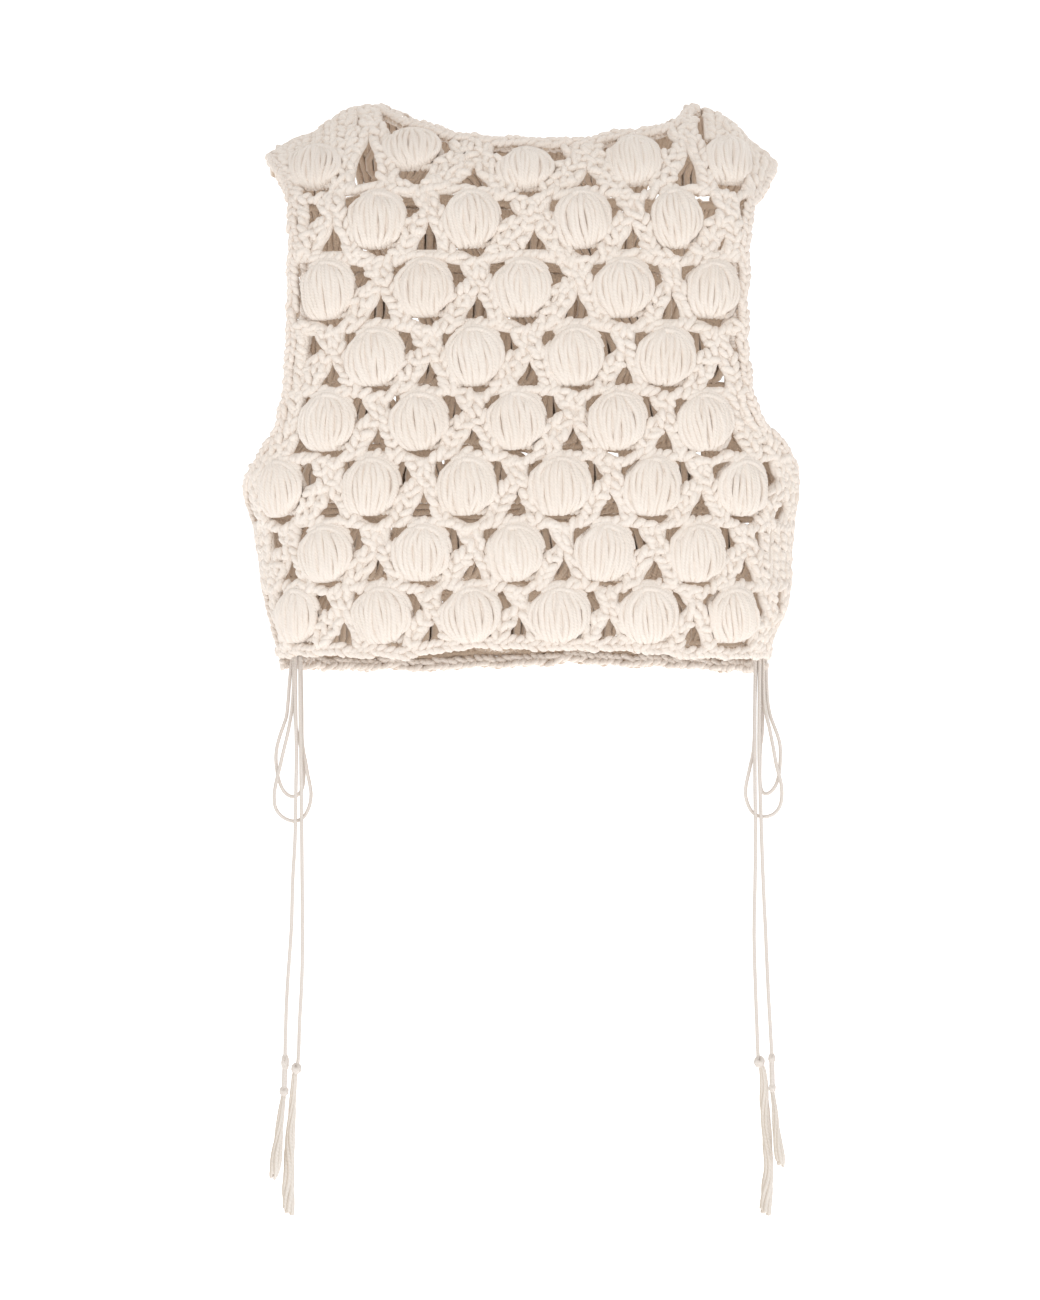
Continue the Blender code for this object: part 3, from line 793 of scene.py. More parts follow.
@dataclass
class Panel:
    """One worked panel: rows of puffs, the bands between the rows and the posts between the puffs."""

    form: Form
    facing: Facing
    rows: tuple[Row, ...]
    shape: PuffShape = PuffShape()
    stitches: Stitches = Stitches()
    flat: tuple[float, float] = (0.460, 0.490)  # its cut size: width and length
    area: float = 0.170
    repeat: float = 75 * MM  # from one puff to the next, round the cloth
    band_below: float = 22.3 * MM  # from a puff's middle to the upper edge of the band under it
    band_above: float = 21.0 * MM  # from a puff's middle to the lower edge of the band over it
    band_drop_by: float = 4.2 * MM  # lower by this under a puff
    band_least: float = 2.9 * MM  # of its half width
    band_past: float = 1.0 * MM  # from the panel's edge to a band's end
    step: float = 1.5 * MM  # along a strip's line
    lowest: float = 460 * MM  # a drop under every puff
    half_row: float = 25 * MM  # from a row's level to that of the band under it
    gap_depth: float = 6.0 * MM  # of the notch in a band under a puff
    gap_half: float = 15.0 * MM
    gap_aside: float = 3.5 * MM  # of its middle to the right
    corner_left: float = 0.6 * MM  # how much a band rises to a puff's lower corners
    corner_right: float = 3.2 * MM
    corner_at: float = 17.5 * MM
    corner_half: float = 9.0 * MM
    filler: float = 13 * MM  # width of a plain post
    overlap: float = 0.5 * MM  # of a plain post with the one beside it
    puff_half: float = 20.5 * MM
    pair_half: float = 17 * MM  # of a pair of posts
    fuller: float = 0.0  # mm that the posts' outer edges go further out than in the tables
    closer: float = 0.0  # mm that the edges between the posts' feet come nearer each other
    hem_band: float = 0.0  # half width of a band that closes the last row over the hem
    to_neck: bool = False  # short posts fill the first row up to the neck's edge too
    short_places: tuple[float, ...] = (-26.0, -13.0, 0.0, 13.0, 26.0)  # mm beside a puff
    short_rims: tuple[float, ...] = (19, 25, 19, 19, 19)  # mm from the puff's level up to each foot
    short_reach: float = 29  # mm beside a puff where its rim comes down to its level
    short_half: float = 8.6 * MM
    # Edges of the two posts between two puffs, in mm to the right of the space's middle, from
    # the band over them (0) to the band under them (1).
    left_post: tuple[Reach, ...] = (
        Reach(0, -12, 6.5), Reach(0.14, -10, 6.5), Reach(0.3, -3.8, 6), Reach(0.41, -7.5, 5.5),
        Reach(0.5, -12.5, 4.8), Reach(0.56, -17, 3.8), Reach(0.62, -21, 1.4), Reach(0.7, -21.5, -1.4),
        Reach(0.79, -22.5, -3.8), Reach(0.94, -25, -5.8), Reach(1.02, -26, -6.5),
    )
    right_post: tuple[Reach, ...] = (
        Reach(0, 1.5, 14.5), Reach(0.16, 1, 13.5), Reach(0.26, 1, 13.5), Reach(0.33, 1.2, 15.5),
        Reach(0.41, 2, 19.5), Reach(0.5, 2.8, 21), Reach(0.56, 4.2, 21.5), Reach(0.62, 6.4, 22),
        Reach(0.7, 8.4, 23), Reach(0.79, 9.8, 24.5), Reach(0.94, 10.4, 28), Reach(1.02, 10.4, 30),
    )
    rng: Random = field(default_factory=lambda: np.random.default_rng(SEED))

    @property
    def way(self) -> int:
        """Which way along X is to the right, as seen from outside the panel."""
        return -self.facing.value

    def on(self, x: Array, drop: Array) -> Array:
        """Points on the panel's middle."""
        return self.form.point(x, drop, self.facing)

    def round_the_cloth(self, x: float, drop: float, distance: Array) -> Array:
        """The x at a distance round a level section from another x, towards +X."""
        side = np.sin(np.linspace(-math.pi / 2, math.pi / 2, 1001)) * 0.9999
        level = side * self.form.side_line(side, drop)
        run = along(self.on(level, drop))
        return np.interp(np.interp(x, level, run) + distance, run, level)

    def down_the_cloth(self, x: float, drop: float, distance: Array) -> Array:
        """The drop at a distance down the cloth from another drop, at one x."""
        level = dense_first(float(self.form.shoulder(x)), self.lowest, 801)
        run = along(self.on(x, level))
        return np.interp(np.interp(drop, level, run) + distance, run, level)

    def drops_between(self, x: float, top: float, foot: float, share: Array) -> Array:
        """Drops from one to another, at shares of the way down the cloth."""
        level = dense_first(top, foot, 200)
        run = along(self.on(x, level))
        return np.interp(share * run[-1], run, level)

    def round_between(self, x: float, other: float, drop: float, count: int) -> float:
        """Distance round the cloth from one x to another."""
        return float(along(self.on(np.linspace(x, other, count), drop))[-1])

    def strands_at(
        self, puff: Puff, across: Array, down: Array, out: Array, lean: float = 0.0
    ) -> tuple[Array, Array]:
        """Place strands on a puff.

        Args:
            puff: Where the puff is.
            across: Metres to the right of its middle, as seen from outside.
            down: Metres below its middle.
            out: Metres out of the cloth.
            lean: Radians that the puff is turned.

        Returns:
            The strands' points, and a direction across each strand.
        """
        s = across * math.cos(lean) - down * math.sin(lean)
        t = across * math.sin(lean) + down * math.cos(lean)
        x = self.round_the_cloth(puff.x, puff.drop, self.way * s)
        drop = self.down_the_cloth(puff.x, puff.drop, t)
        points = self.form.place(x, drop, self.facing, out)
        beside = self.form.place(x + self.way * 0.2 * MM, drop, self.facing, out)
        return points, unit(beside - points)

    def puff_front(self, puff: Puff) -> list[Surface]:
        """A puff's outer strands, the strands that fill it and its closing loops.

        A strand runs over the puff by an angle, from the closing stitch to the foot. Some
        start lower, out of the puff. A strand's place across is a share of the outline's half
        width, and its crown is lower towards the puff's sides. A closing loop follows nearly
        an ellipse round the upper rim.

        Args:
            puff: Where the puff is.

        Returns:
            The strands' surfaces.
        """
        shape, rng = self.shape, self.rng
        size = (shape.front_strands, 1)
        lean = math.radians(rng.uniform(*shape.lean))
        wide, tall = puff.wide * rng.uniform(0.97, 1.05), puff.tall * rng.uniform(0.98, 1.03)
        puff = puff._replace(wide=wide, tall=tall)
        share = np.linspace(-0.93, 0.93, size[0])[:, None] + rng.uniform(-0.034, 0.034, size)
        late = rng.uniform(0, 1, size) < shape.late
        start = np.where(late, rng.uniform(*shape.late_start, size), shape.start)
        angle = np.radians(start + (shape.end - start) * np.linspace(0, 1, shape.rings))
        angle = angle + rng.uniform(-0.03, 0.03, size)
        height, bulge = shape.over(angle)
        wander = rng.uniform(*shape.wander, size) * MM * np.sin(angle * 2.6 + rng.uniform(0, TURN, size))
        dive = late * shape.dive * np.exp(-shape.dive_fade * np.arange(shape.rings))
        across = share * shape.half_width(share, height) * puff.wide + wander
        down = shape.shortened(share, height) * shape.half_height * puff.tall
        crown = shape.crown * domed(0.96 * share, shape.least) + rng.uniform(-0.6, 0.6, size) * MM
        points, side = self.strands_at(puff, across, down, bulge * crown + shape.base - dive, lean)
        radius = shape.radius * (1 - 0.2 * np.abs(np.sin(angle)) ** 6) * rng.uniform(0.88, 1.12, size)
        made = [tubes(points, side, radius, shape.sides), self.puff_under(puff, lean)]
        start, end, across, down, out = np.array(shape.rims).T[..., None]
        turn = np.radians(start + (end - start) * np.linspace(0, 1, shape.rings))
        turn = turn + rng.uniform(-0.08, 0.08, (len(turn), 1))
        across = across * MM * puff.wide * signed_power(np.sin(turn), 1.05)
        down = -down * MM * puff.tall * signed_power(np.cos(turn), 0.85)
        points, _ = self.strands_at(puff, across, down, (out + 1.6 * np.cos(turn)) * MM, lean)
        side = np.cross(self.form.outward(points), heading(points))
        return made + [tubes(points, unit(side), 1.1 * shape.radius, shape.sides)]

    def puff_under(self, puff: Puff, lean: float) -> Surface:
        """The strands that fill a puff under its outer ones."""
        shape = self.shape
        share = np.linspace(-0.86, 0.86, shape.under_strands)[:, None]
        height, bulge = shape.over(np.radians(np.linspace(-88, 88, 6)) * np.ones_like(share))
        across = share * shape.half_width(share, height) * puff.wide
        down = 0.96 * shape.shortened(share, height) * shape.half_height * puff.tall
        out = bulge * (shape.crown - shape.under) * domed(share, shape.least)
        points, side = self.strands_at(puff, across, down, out, lean)
        return tubes(points, side, 1.25 * shape.radius, shape.filling_sides)

    def puff_rear(self, puff: Puff) -> Surface:
        """A puff's inner strands: the same as its outer ones, but flatter and on the other side."""
        shape, rng = self.shape, self.rng
        size = (shape.rear_strands, 1)
        share = np.linspace(-0.9, 0.9, size[0])[:, None] + rng.uniform(-0.03, 0.03, size)
        height, bulge = shape.over(np.radians(np.linspace(-95, 95, 7)) * np.ones(size))
        past = shape.spread * np.clip(0.5 + 2.5 * height, 0, 1) * (height < 0.95)
        across = share * (shape.half_width(share, height) + past) * puff.wide
        down = 0.97 * height * shape.half_height * puff.tall
        out = -np.abs(bulge) * shape.hollow * domed(share, shape.least_rear)
        points, side = self.strands_at(puff, across, down, out)
        return tubes(points, side, 1.3 * shape.radius, shape.filling_sides)

    @staticmethod
    def wave(above: Row, below: Row, x: Array) -> Array:
        """A cubic through 1 at each upper puff and -1 at each lower one."""
        knots = [(puff.x, 1.0) for puff in above] + [(puff.x, -1.0) for puff in below]
        return joined(*np.array(sorted(knots)).T, x)

    def band_edges(self, above: Row, below: Row, x: Array) -> tuple[Array, Array]:
        """Drops of a band's upper and lower edge.

        The upper edge keeps its distance under the upper row. It has a notch under each puff,
        and rises to both of the puff's lower corners; each is a squared cosine of a distance
        round the cloth. The lower edge keeps its distance over the lower row.

        Args:
            above: The row over the band.
            below: The row under it.
            x: Places across.

        Returns:
            The drops of the two edges at each.
        """
        ends = np.linspace(-0.999, 0.999, 1201)
        drop = above[0].drop + self.half_row
        level = ends * self.form.side_line(ends, drop)
        run = along(self.on(level, drop))
        puffs = np.interp([puff.x for puff in above], level, run)
        aside = self.way * (np.interp(x, level, run)[:, None] - puffs)
        notch = humped(aside - self.gap_aside, self.gap_half)
        corner = humped(np.abs(aside) - self.corner_at, self.corner_half)
        corner = corner * np.where(aside < 0, self.corner_left, self.corner_right)
        top = read(above, "drop", x) + self.band_below + self.gap_depth * notch.max(axis=1)
        foot = read(below, "drop", x) - self.band_above
        wave = (1 + self.wave(above, below, x)) / 2
        return top - corner.max(axis=1), foot + self.band_drop_by * wave

    def band_drop(self, above: Row, below: Row, x: float) -> float:
        """Drop of a band's middle."""
        top, foot = self.band_edges(above, below, np.array([x]))
        return float(top[0] + foot[0]) / 2

    def band_line(self, drop: float) -> Array:
        """Places across from edge to edge, at a drop."""
        left, right = self.form.edges(drop, self.band_past)
        return (left + right) / 2 + (right - left) / 2 * np.sin(np.linspace(-1, 1, 400) * math.pi / 2)

    def band(self, x: Array, drop: Array, half: Array) -> Strip:
        """A band along a line, kept within the panel."""
        return Strip(np.clip(x, *self.form.edges(drop, self.band_past)), drop, half)

    def bands(self) -> list[Strip]:
        """The bands: one under each row but the last, and one over the hem where it has a width."""
        made = []
        for above, below in zip(self.rows, self.rows[1:]):
            x = self.band_line((above[0].drop + below[0].drop) / 2)
            top, foot = self.band_edges(above, below, x)
            made.append(self.band(x, (top + foot) / 2, np.maximum((foot - top) / 2, self.band_least)))
        if self.hem_band:
            x = self.band_line(self.form.hem(self.facing) - self.hem_band)
            drop = self.form.hem_at(x, self.facing) - self.hem_band
            made.append(self.band(x, drop, np.full_like(x, self.hem_band)))
        return made

    def upper_edge(self, x: float) -> float:
        """Drop of the panel's upper edge: the shoulder's, or the neck's where that is lower."""
        top = float(self.form.shoulder(x))
        return max(top, float(self.form.neck_drop(x, self.facing))) if self.form.at_neck(x) else top

    def ends_of_post(self, number: int, x_top: float, x_foot: float) -> tuple[float, float]:
        """Drops of the band or the edge over and under a post.

        Args:
            number: Of the post's row.
            x_top: Where its top is.
            x_foot: Where its foot is.

        Returns:
            The drops of its top and its foot.
        """
        row = self.rows[number]
        top = self.band_drop(self.rows[number - 1], row, x_top) if number else self.upper_edge(x_top)
        if number + 1 < len(self.rows):
            return top, self.band_drop(row, self.rows[number + 1], x_foot)
        return top, float(self.form.hem_at(x_foot, self.facing)) + 1 * MM

    def pair_of_posts(self, number: int, x: float, drop: float, scale: float) -> list[Strip]:
        """Two posts that meet in the middle of a space and part at their feet.

        Args:
            number: Of their row.
            x: The space's middle.
            drop: The level of the puffs beside it.
            scale: The space's width as a share of a full one's.

        Returns:
            The two strips.
        """
        made = []
        share = np.linspace(0, 1, 30)
        jog = self.rng.uniform(-0.8, 0.8)
        near = self.closer * np.clip(4 * share - 2, 0, 1)
        grown = ((self.left_post, self.fuller, near), (self.right_post, near, self.fuller))
        for edges, more_left, more_right in grown:
            left, right = read(edges, "left", share) - more_left, read(edges, "right", share) + more_right
            line_x = self.round_the_cloth(x, drop, self.way * ((left + right) / 2 * scale + jog) * MM)
            drops = self.drops_between(x, *self.ends_of_post(number, line_x[0], line_x[-1]), share)
            half = (right - left) / 2 * scale * MM
            made.append(Strip(np.clip(line_x, *self.form.edges(drops, -0.8 * half)), drops, half))
        return made

    def plain_post(self, number: int, puff: Puff, hand: Hand, distance: float, width: float) -> Strip:
        """One post beside a row's end puff. It follows the panel's edge, in proportion to its distance.

        Args:
            number: Of its row.
            puff: The end puff.
            hand: The edge's side.
            distance: From the puff's middle to the post's, round the cloth at the puff's level.
            width: Of the post there.

        Returns:
            The strip.
        """
        x = float(self.round_the_cloth(puff.x, puff.drop, hand.value * distance))
        drops = self.drops_between(x, *self.ends_of_post(number, x, x), np.linspace(0, 1, 20))
        edge = hand.value * float(self.form.reach(hand, puff.drop))
        room = (hand.value * self.form.reach(hand, drops) - puff.x) / (edge - puff.x)
        half = (width / 2 + self.overlap) * np.clip(room, 0.6, 1.3)
        return Strip(puff.x + (x - puff.x) * room, drops, half)

    def posts(self) -> tuple[list[Strip], list[Strip]]:
        """Every post: the pairs between the puffs, and what fills each row out to its edges."""
        pairs, plain = self.shoulder_posts(), []
        for number, row in enumerate(self.rows):
            for one, other in zip(row, row[1:]):
                drop = (one.drop + other.drop) / 2
                wide = self.round_between(one.x, other.x, drop, 60) - self.puff_half * (one.wide + other.wide)
                scale = wide / (self.repeat - 2 * self.puff_half)
                pairs += self.pair_of_posts(number, (one.x + other.x) / 2, drop, scale)
            for hand, last in ((Hand.LEFT, row[0]), (Hand.RIGHT, row[-1])):
                edge = hand.value * float(self.form.reach(hand, last.drop))
                room = self.round_between(last.x, edge, last.drop, 200)
                filled = self.puff_half * last.wide
                if room > 0.62 * self.repeat:
                    x = float(self.round_the_cloth(last.x, last.drop, hand.value * self.repeat / 2))
                    pairs += self.pair_of_posts(number, x, last.drop, 1.0)
                    filled = self.repeat / 2 + self.pair_half
                count = int((room - filled) / self.filler + 0.6)
                for i in range(count):
                    width = (room - filled) / count
                    plain.append(self.plain_post(number, last, hand, filled + width * (i + 0.5), width))
        return pairs, plain

    def shoulder_posts(self) -> list[Strip]:
        """Short posts from the upper edge down to the first row: over its end puffs, or over each."""
        made = []
        share = np.linspace(0, 1, 16)
        for puff in self.rows[0] if self.to_neck else self.rows[0][:: len(self.rows[0]) - 1]:
            for away, rim in zip(self.short_places, self.short_rims):
                x = float(self.round_the_cloth(puff.x, puff.drop, away * MM))
                if self.form.at_neck(x) and not self.to_neck:
                    continue
                rim = rim * MM * puff.tall * (1 - (away / self.short_reach) ** 2)
                top, foot = self.upper_edge(x), float(self.down_the_cloth(puff.x, puff.drop, -rim))
                if foot - top >= 1 * MM:
                    drops = self.drops_between(x, top, foot, share)
                    made.append(Strip(np.full_like(share, x), drops, np.full_like(share, self.short_half)))
        return made

    def worked(self, strips: list[Strip]) -> list[Surface]:
        """Lay stitches along strips."""
        made = []
        for strip in strips:
            raw = self.on(strip.x, strip.drop)
            middle = evenly(raw, self.step)
            run = along(raw)
            half = np.interp(np.linspace(0, run[-1], len(middle)), run, strip.half)
            made += self.stitches.strip(middle, self.form.outward(middle), half, self.rng)
        return made

    def build(self, material: Material) -> None:
        """Make the panel's ground, its posts and its puffs."""
        name = self.facing.name.lower()
        pairs, plain = self.posts()
        puffs = [puff for row in self.rows for puff in row]
        ground, between = self.worked(self.bands() + plain), self.worked(pairs)
        outer = [surface for puff in puffs for surface in self.puff_front(puff)]
        inner = [self.puff_rear(puff) for puff in puffs]
        sheet = in_place_of(f"{name}_panel", "ground", ground, material)
        others = {"posts": between, "puffs_outer": outer, "puffs_inner": inner}
        pieces = [add_mesh(f"{name}_{kind}", made, material) for kind, made in others.items()]


def level_row(drop: float, *xs: float) -> Row:
    """Full puffs at one drop."""
    return tuple(Puff(x, drop) for x in xs)


FRONT_ROWS: tuple[Row, ...] = (
    (
        Puff(-0.1570, 0.0572, 1.06, 1.00), Puff(-0.0840, 0.0453, 1.02, 0.90),
        Puff(0.0030, 0.0627, 0.90, 0.82), Puff(0.0859, 0.0550, 0.96, 1.04),
        Puff(0.1594, 0.0522, 1.04, 1.04),
    ),
    (*level_row(0.1023, -0.1096, -0.0380, 0.0457), Puff(0.1166, 0.1010, 0.90, 1.05)),
    level_row(0.1550, -0.1470, -0.0736, 0.0000, 0.0766, 0.1440),
    level_row(0.2068, -0.1106, -0.0356, 0.0401, 0.1083),
    level_row(0.2554, -0.1470, -0.0772, -0.0038, 0.0719, 0.1386),
    level_row(0.3046, -0.1835, -0.1136, -0.0416, 0.0288, 0.0985, 0.1675),
    level_row(0.3546, -0.1478, -0.0757, -0.0053, 0.0628, 0.1326),
    level_row(0.4015, -0.1710, -0.1054, -0.0379, 0.0288, 0.0956, 0.1600),
)


@dataclass(frozen=True)
class BackPlan:
    """Where the back's puffs stand behind the front's, in mm.

    Each of its first row has its own shift across and its own drop. The others stand in the
    spaces of the front's row, by its own shift across and down, and have its own height.
    """

    first: tuple[tuple[float, float], ...] = ((-12, 54.0), (-18, 35.8), (-14, 45.2), (-14, 42.7), (-14, 46.7))
    first_tall: float = 0.98
    shifts: tuple[tuple[float, float, float], ...] = (
        (-15.6, -9.0, 1.04), (-12.7, -9.4, 1.04), (-13.3, -16.0, 1.04), (-10.8, -16.4, 1.04),
        (-7.2, -17.2, 1.04), (-15.1, -7.2, 1.14), (-13.6, 4.5, 1.14),
    )
    wide: float = 1.08
    past_left: float = 43.0  # past the front's end puffs, where there is room for one more
    past_right: float = 33.0
    edge_room: float = 20.0  # from the panel's edge in to where a puff may be

    def rows(self, form: Form, front: tuple[Row, ...]) -> tuple[Row, ...]:
        """The back's rows."""
        made = [
            tuple(
                Puff(puff.x + across * MM, drop * MM, puff.wide, self.first_tall)
                for puff, (across, drop) in zip(front[0], self.first)
            )
        ]
        for row, (across, down, tall) in zip(front[1:], self.shifts):
            xs = np.array([puff.x for puff in row])
            drop = float(np.mean([puff.drop for puff in row])) + down * MM
            between = (xs[1:] + xs[:-1]) / 2 + across * MM
            spread = (xs[0] - self.past_left * MM, *between, xs[-1] + self.past_right * MM)
            left, right = form.edges(drop, -self.edge_room * MM)
            made.append(tuple(Puff(float(x), drop, self.wide, tall) for x in spread if left < x < right))
        return tuple(made)


# ---- Edges ---------------------------------------------------------------------------


@dataclass
class Edgings:
    """The chained edges round the neck, the armholes and open sides and the hems, and the shoulder seams."""

    form: Form
    material: Material
    chain: Stitches = Stitches(
        length=9.0 * MM, radius=2.5 * MM, tilt=26.0, inset=1.0 * MM, row=5.6 * MM, column=4.2 * MM,
        uneven=0.8, rings=5,
    )
    off: float = 3.7 * MM  # from a panel's edge to the middle of its edging
    half: float = 4.6 * MM
    inner_out: float = 0.4 * MM  # height of the loops on the inner side
    step: float = 1.8 * MM
    rounds: int = 14
    scallop: float = 1.1 * MM
    scallop_pitch: float = 37 * MM
    past_corner: float = 5 * MM
    rng: Random = field(default_factory=lambda: np.random.default_rng(SEED + 1))

    def off_the_panel(self, path: Array, closed: bool) -> Array:
        """Move an edge's line off its panel, along the form, in low scallops, and round its corners.

        Args:
            path: Points of the edge, with the panel on the right as seen from outside.
            closed: The line joins up.

        Returns:
            The moved points.
        """
        path = eased(evenly(path, self.step, closed), self.rounds, closed)
        run = along(path)
        turns = round(run[-1] / self.scallop_pitch)
        wave = self.scallop * np.cos(TURN * turns * run / run[-1])[:, None]
        moved = path + unit(np.cross(self.form.outward(path), heading(path, closed))) * (self.off + wave)
        moved = eased(evenly(moved, self.step, closed), self.rounds, closed)
        return np.concatenate([moved, moved[:1]]) if closed else moved

    def side_path(self, hand: Hand) -> Array:
        """An open side and its armhole, from one panel's hem over the shoulder tip to the other's."""
        tip = float(self.form.shoulder(hand.value * self.form.tip_x))
        halves = []
        for facing in Facing if hand is Hand.LEFT else reversed(Facing):
            drop = dense_first(tip, self.form.hem(facing) - 0.5 * MM, 500)
            halves.append(self.form.point(hand.value * self.form.reach(hand, drop), drop, facing))
        return np.concatenate([halves[0][::-1], halves[1][1:]])

    def neck_path(self) -> Array:
        """The neck's edge: over the front from left to right, then back over the back."""
        first, last = self.form.neck[0].x, self.form.neck[-1].x
        x = first + (last - first) * (1 - np.cos(np.linspace(0, math.pi, 400))) / 2
        drops = [np.maximum(self.form.neck_drop(x, facing), self.form.shoulder(x)) for facing in Facing]
        front, back = (self.form.point(x, drop, facing) for drop, facing in zip(drops, Facing))
        return np.concatenate([front, back[-2:0:-1]])

    def hem_path(self, facing: Facing) -> Array:
        """A panel's lower edge, and a little past its corners."""
        x = np.linspace(*self.form.edges(self.form.hem(facing), self.past_corner), 400)
        path = self.form.point(x, self.form.hem_at(x, facing), facing)
        return path[::-1] if facing is Facing.FRONT else path

    def chained(self, middle: Array) -> list[Surface]:
        """Chain stitches along a line on the form."""
        return self.chain.strip(middle, self.form.outward(middle), np.full(len(middle), self.half), self.rng)

    def build(self) -> None:
        """Make each edging in place of its plain rim, and the shoulder seams from the neck to the tips."""
        paths = {
            "neck_edging": self.neck_path(),
            "side_edging_left": self.side_path(Hand.LEFT),
            "side_edging_right": self.side_path(Hand.RIGHT),
            "hem_edging_front": self.hem_path(Facing.FRONT),
            "hem_edging_back": self.hem_path(Facing.BACK),
        }
        for node, path in paths.items():
            middle = self.off_the_panel(path, closed=node == "neck_edging")
            surfaces = self.chained(middle)
            inward, half = -self.form.outward(middle), np.full(len(middle), self.half)
            surfaces.append(self.chain.loops(middle, inward, half, self.inner_out, self.rng))
            in_place_of(node, "chain", surfaces, self.material)
        for hand, neck in ((Hand.LEFT, self.form.neck[0]), (Hand.RIGHT, self.form.neck[-1])):
            x = np.linspace(neck.x, hand.value * (self.form.tip_x - 1 * MM), 120)
            middle = evenly(np.stack([x, 0 * x, -self.form.shoulder(x)], axis=-1), self.step)
            add_mesh(f"shoulder_seam_{hand.name.lower()}", self.chained(middle), self.material)


# ---- Laces ---------------------------------------------------------------------------

# Places on a lace in mm from the knot's underside: sideways, and down.
Route = tuple[tuple[float, float], ...]


class Lump(NamedTuple):
    """A knot on a free end, in mm: its place, half width and half height."""

    side: float
    down: float
    half_width: float
    half_height: float


class Wisp(NamedTuple):
    """A place on a tail of thick yarn, in mm: its half width, and how far back it hangs."""

    side: float
    down: float
    half_width: float
    back: float


class FreeEnd(NamedTuple):
    """A free end of a lace, its knots and its tail."""

    cord: Route
    knots: tuple[Lump, ...]
    tail: tuple[Wisp, ...]


class Bow(NamedTuple):
    """One side's bow: where it hangs, its two loops and its two free ends."""

    x: float
    small_loop: Route
    large_loop: Route
    ends: tuple[FreeEnd, ...]


LEFT_BOW = Bow(
    -175.5,
    (
        (-4.5, 0), (-6.6, 20), (-7.8, 36), (-9, 47), (-11.2, 54), (-13.9, 61.7), (-16.3, 70.5),
        (-17.3, 79), (-16.7, 88), (-15, 97), (-11.6, 105), (-6.5, 109.6), (-1, 109.2), (3, 104.5),
        (4.5, 96), (4.1, 83), (1.6, 69), (-1.6, 55), (-2.4, 36), (-2.2, 18), (-1.2, 0),
    ),
    (
        (-3, 0), (-3.2, 20), (-4.4, 40), (-6.6, 54), (-8.2, 62), (-10, 69.6), (-11.9, 77.4), (-13.8, 86),
        (-15.7, 93.5), (-17.4, 101), (-18.4, 109.5), (-17.6, 118), (-13.6, 124.4), (-7.6, 128.2),
        (-0.9, 129), (5, 125.4), (9, 117.5), (10.4, 109), (9.5, 100.8), (7.7, 92), (6.2, 83), (4.6, 75),
        (3.4, 64), (3.2, 44), (2.8, 20), (2.2, 0),
    ),
    (
        FreeEnd(
            (
                (-1.6, 0), (-1.5, 40), (-0.9, 75), (-1.4, 112), (-2, 144), (-3.7, 175), (-4.9, 214),
                (-8.1, 261), (-9.4, 295), (-9.7, 311),
            ),
            (Lump(-9.7, 317.5, 3.1, 6), Lump(-10.6, 340.2, 3.6, 3.8)),
            (
                Wisp(-10.9, 344.4, 2, 0), Wisp(-12.9, 357, 2.8, -1), Wisp(-14.6, 375, 3.4, -2.2),
                Wisp(-16.6, 394, 4.8, -3), Wisp(-18.4, 405, 3.6, -3), Wisp(-19, 409, 2, -3),
            ),
        ),
        FreeEnd(
            (
                (1.9, 0), (2.1, 40), (2.6, 75), (3.1, 118), (3.4, 150), (3.8, 191), (4, 230), (3, 261),
                (1.6, 287), (0.9, 308), (0.2, 317.8),
            ),
            (Lump(-0.9, 322.4, 4, 4.2),),
            (
                Wisp(-2, 327, 2.2, 0), Wisp(-3.4, 340, 2.6, 1.6), Wisp(-4.5, 358, 3.1, 2.8),
                Wisp(-6.2, 380, 4, 4), Wisp(-7, 402, 4.4, 3.6), Wisp(-7.4, 420, 5.2, 3),
                Wisp(-6.8, 437, 4.6, 2),
            ),
        ),
    ),
)

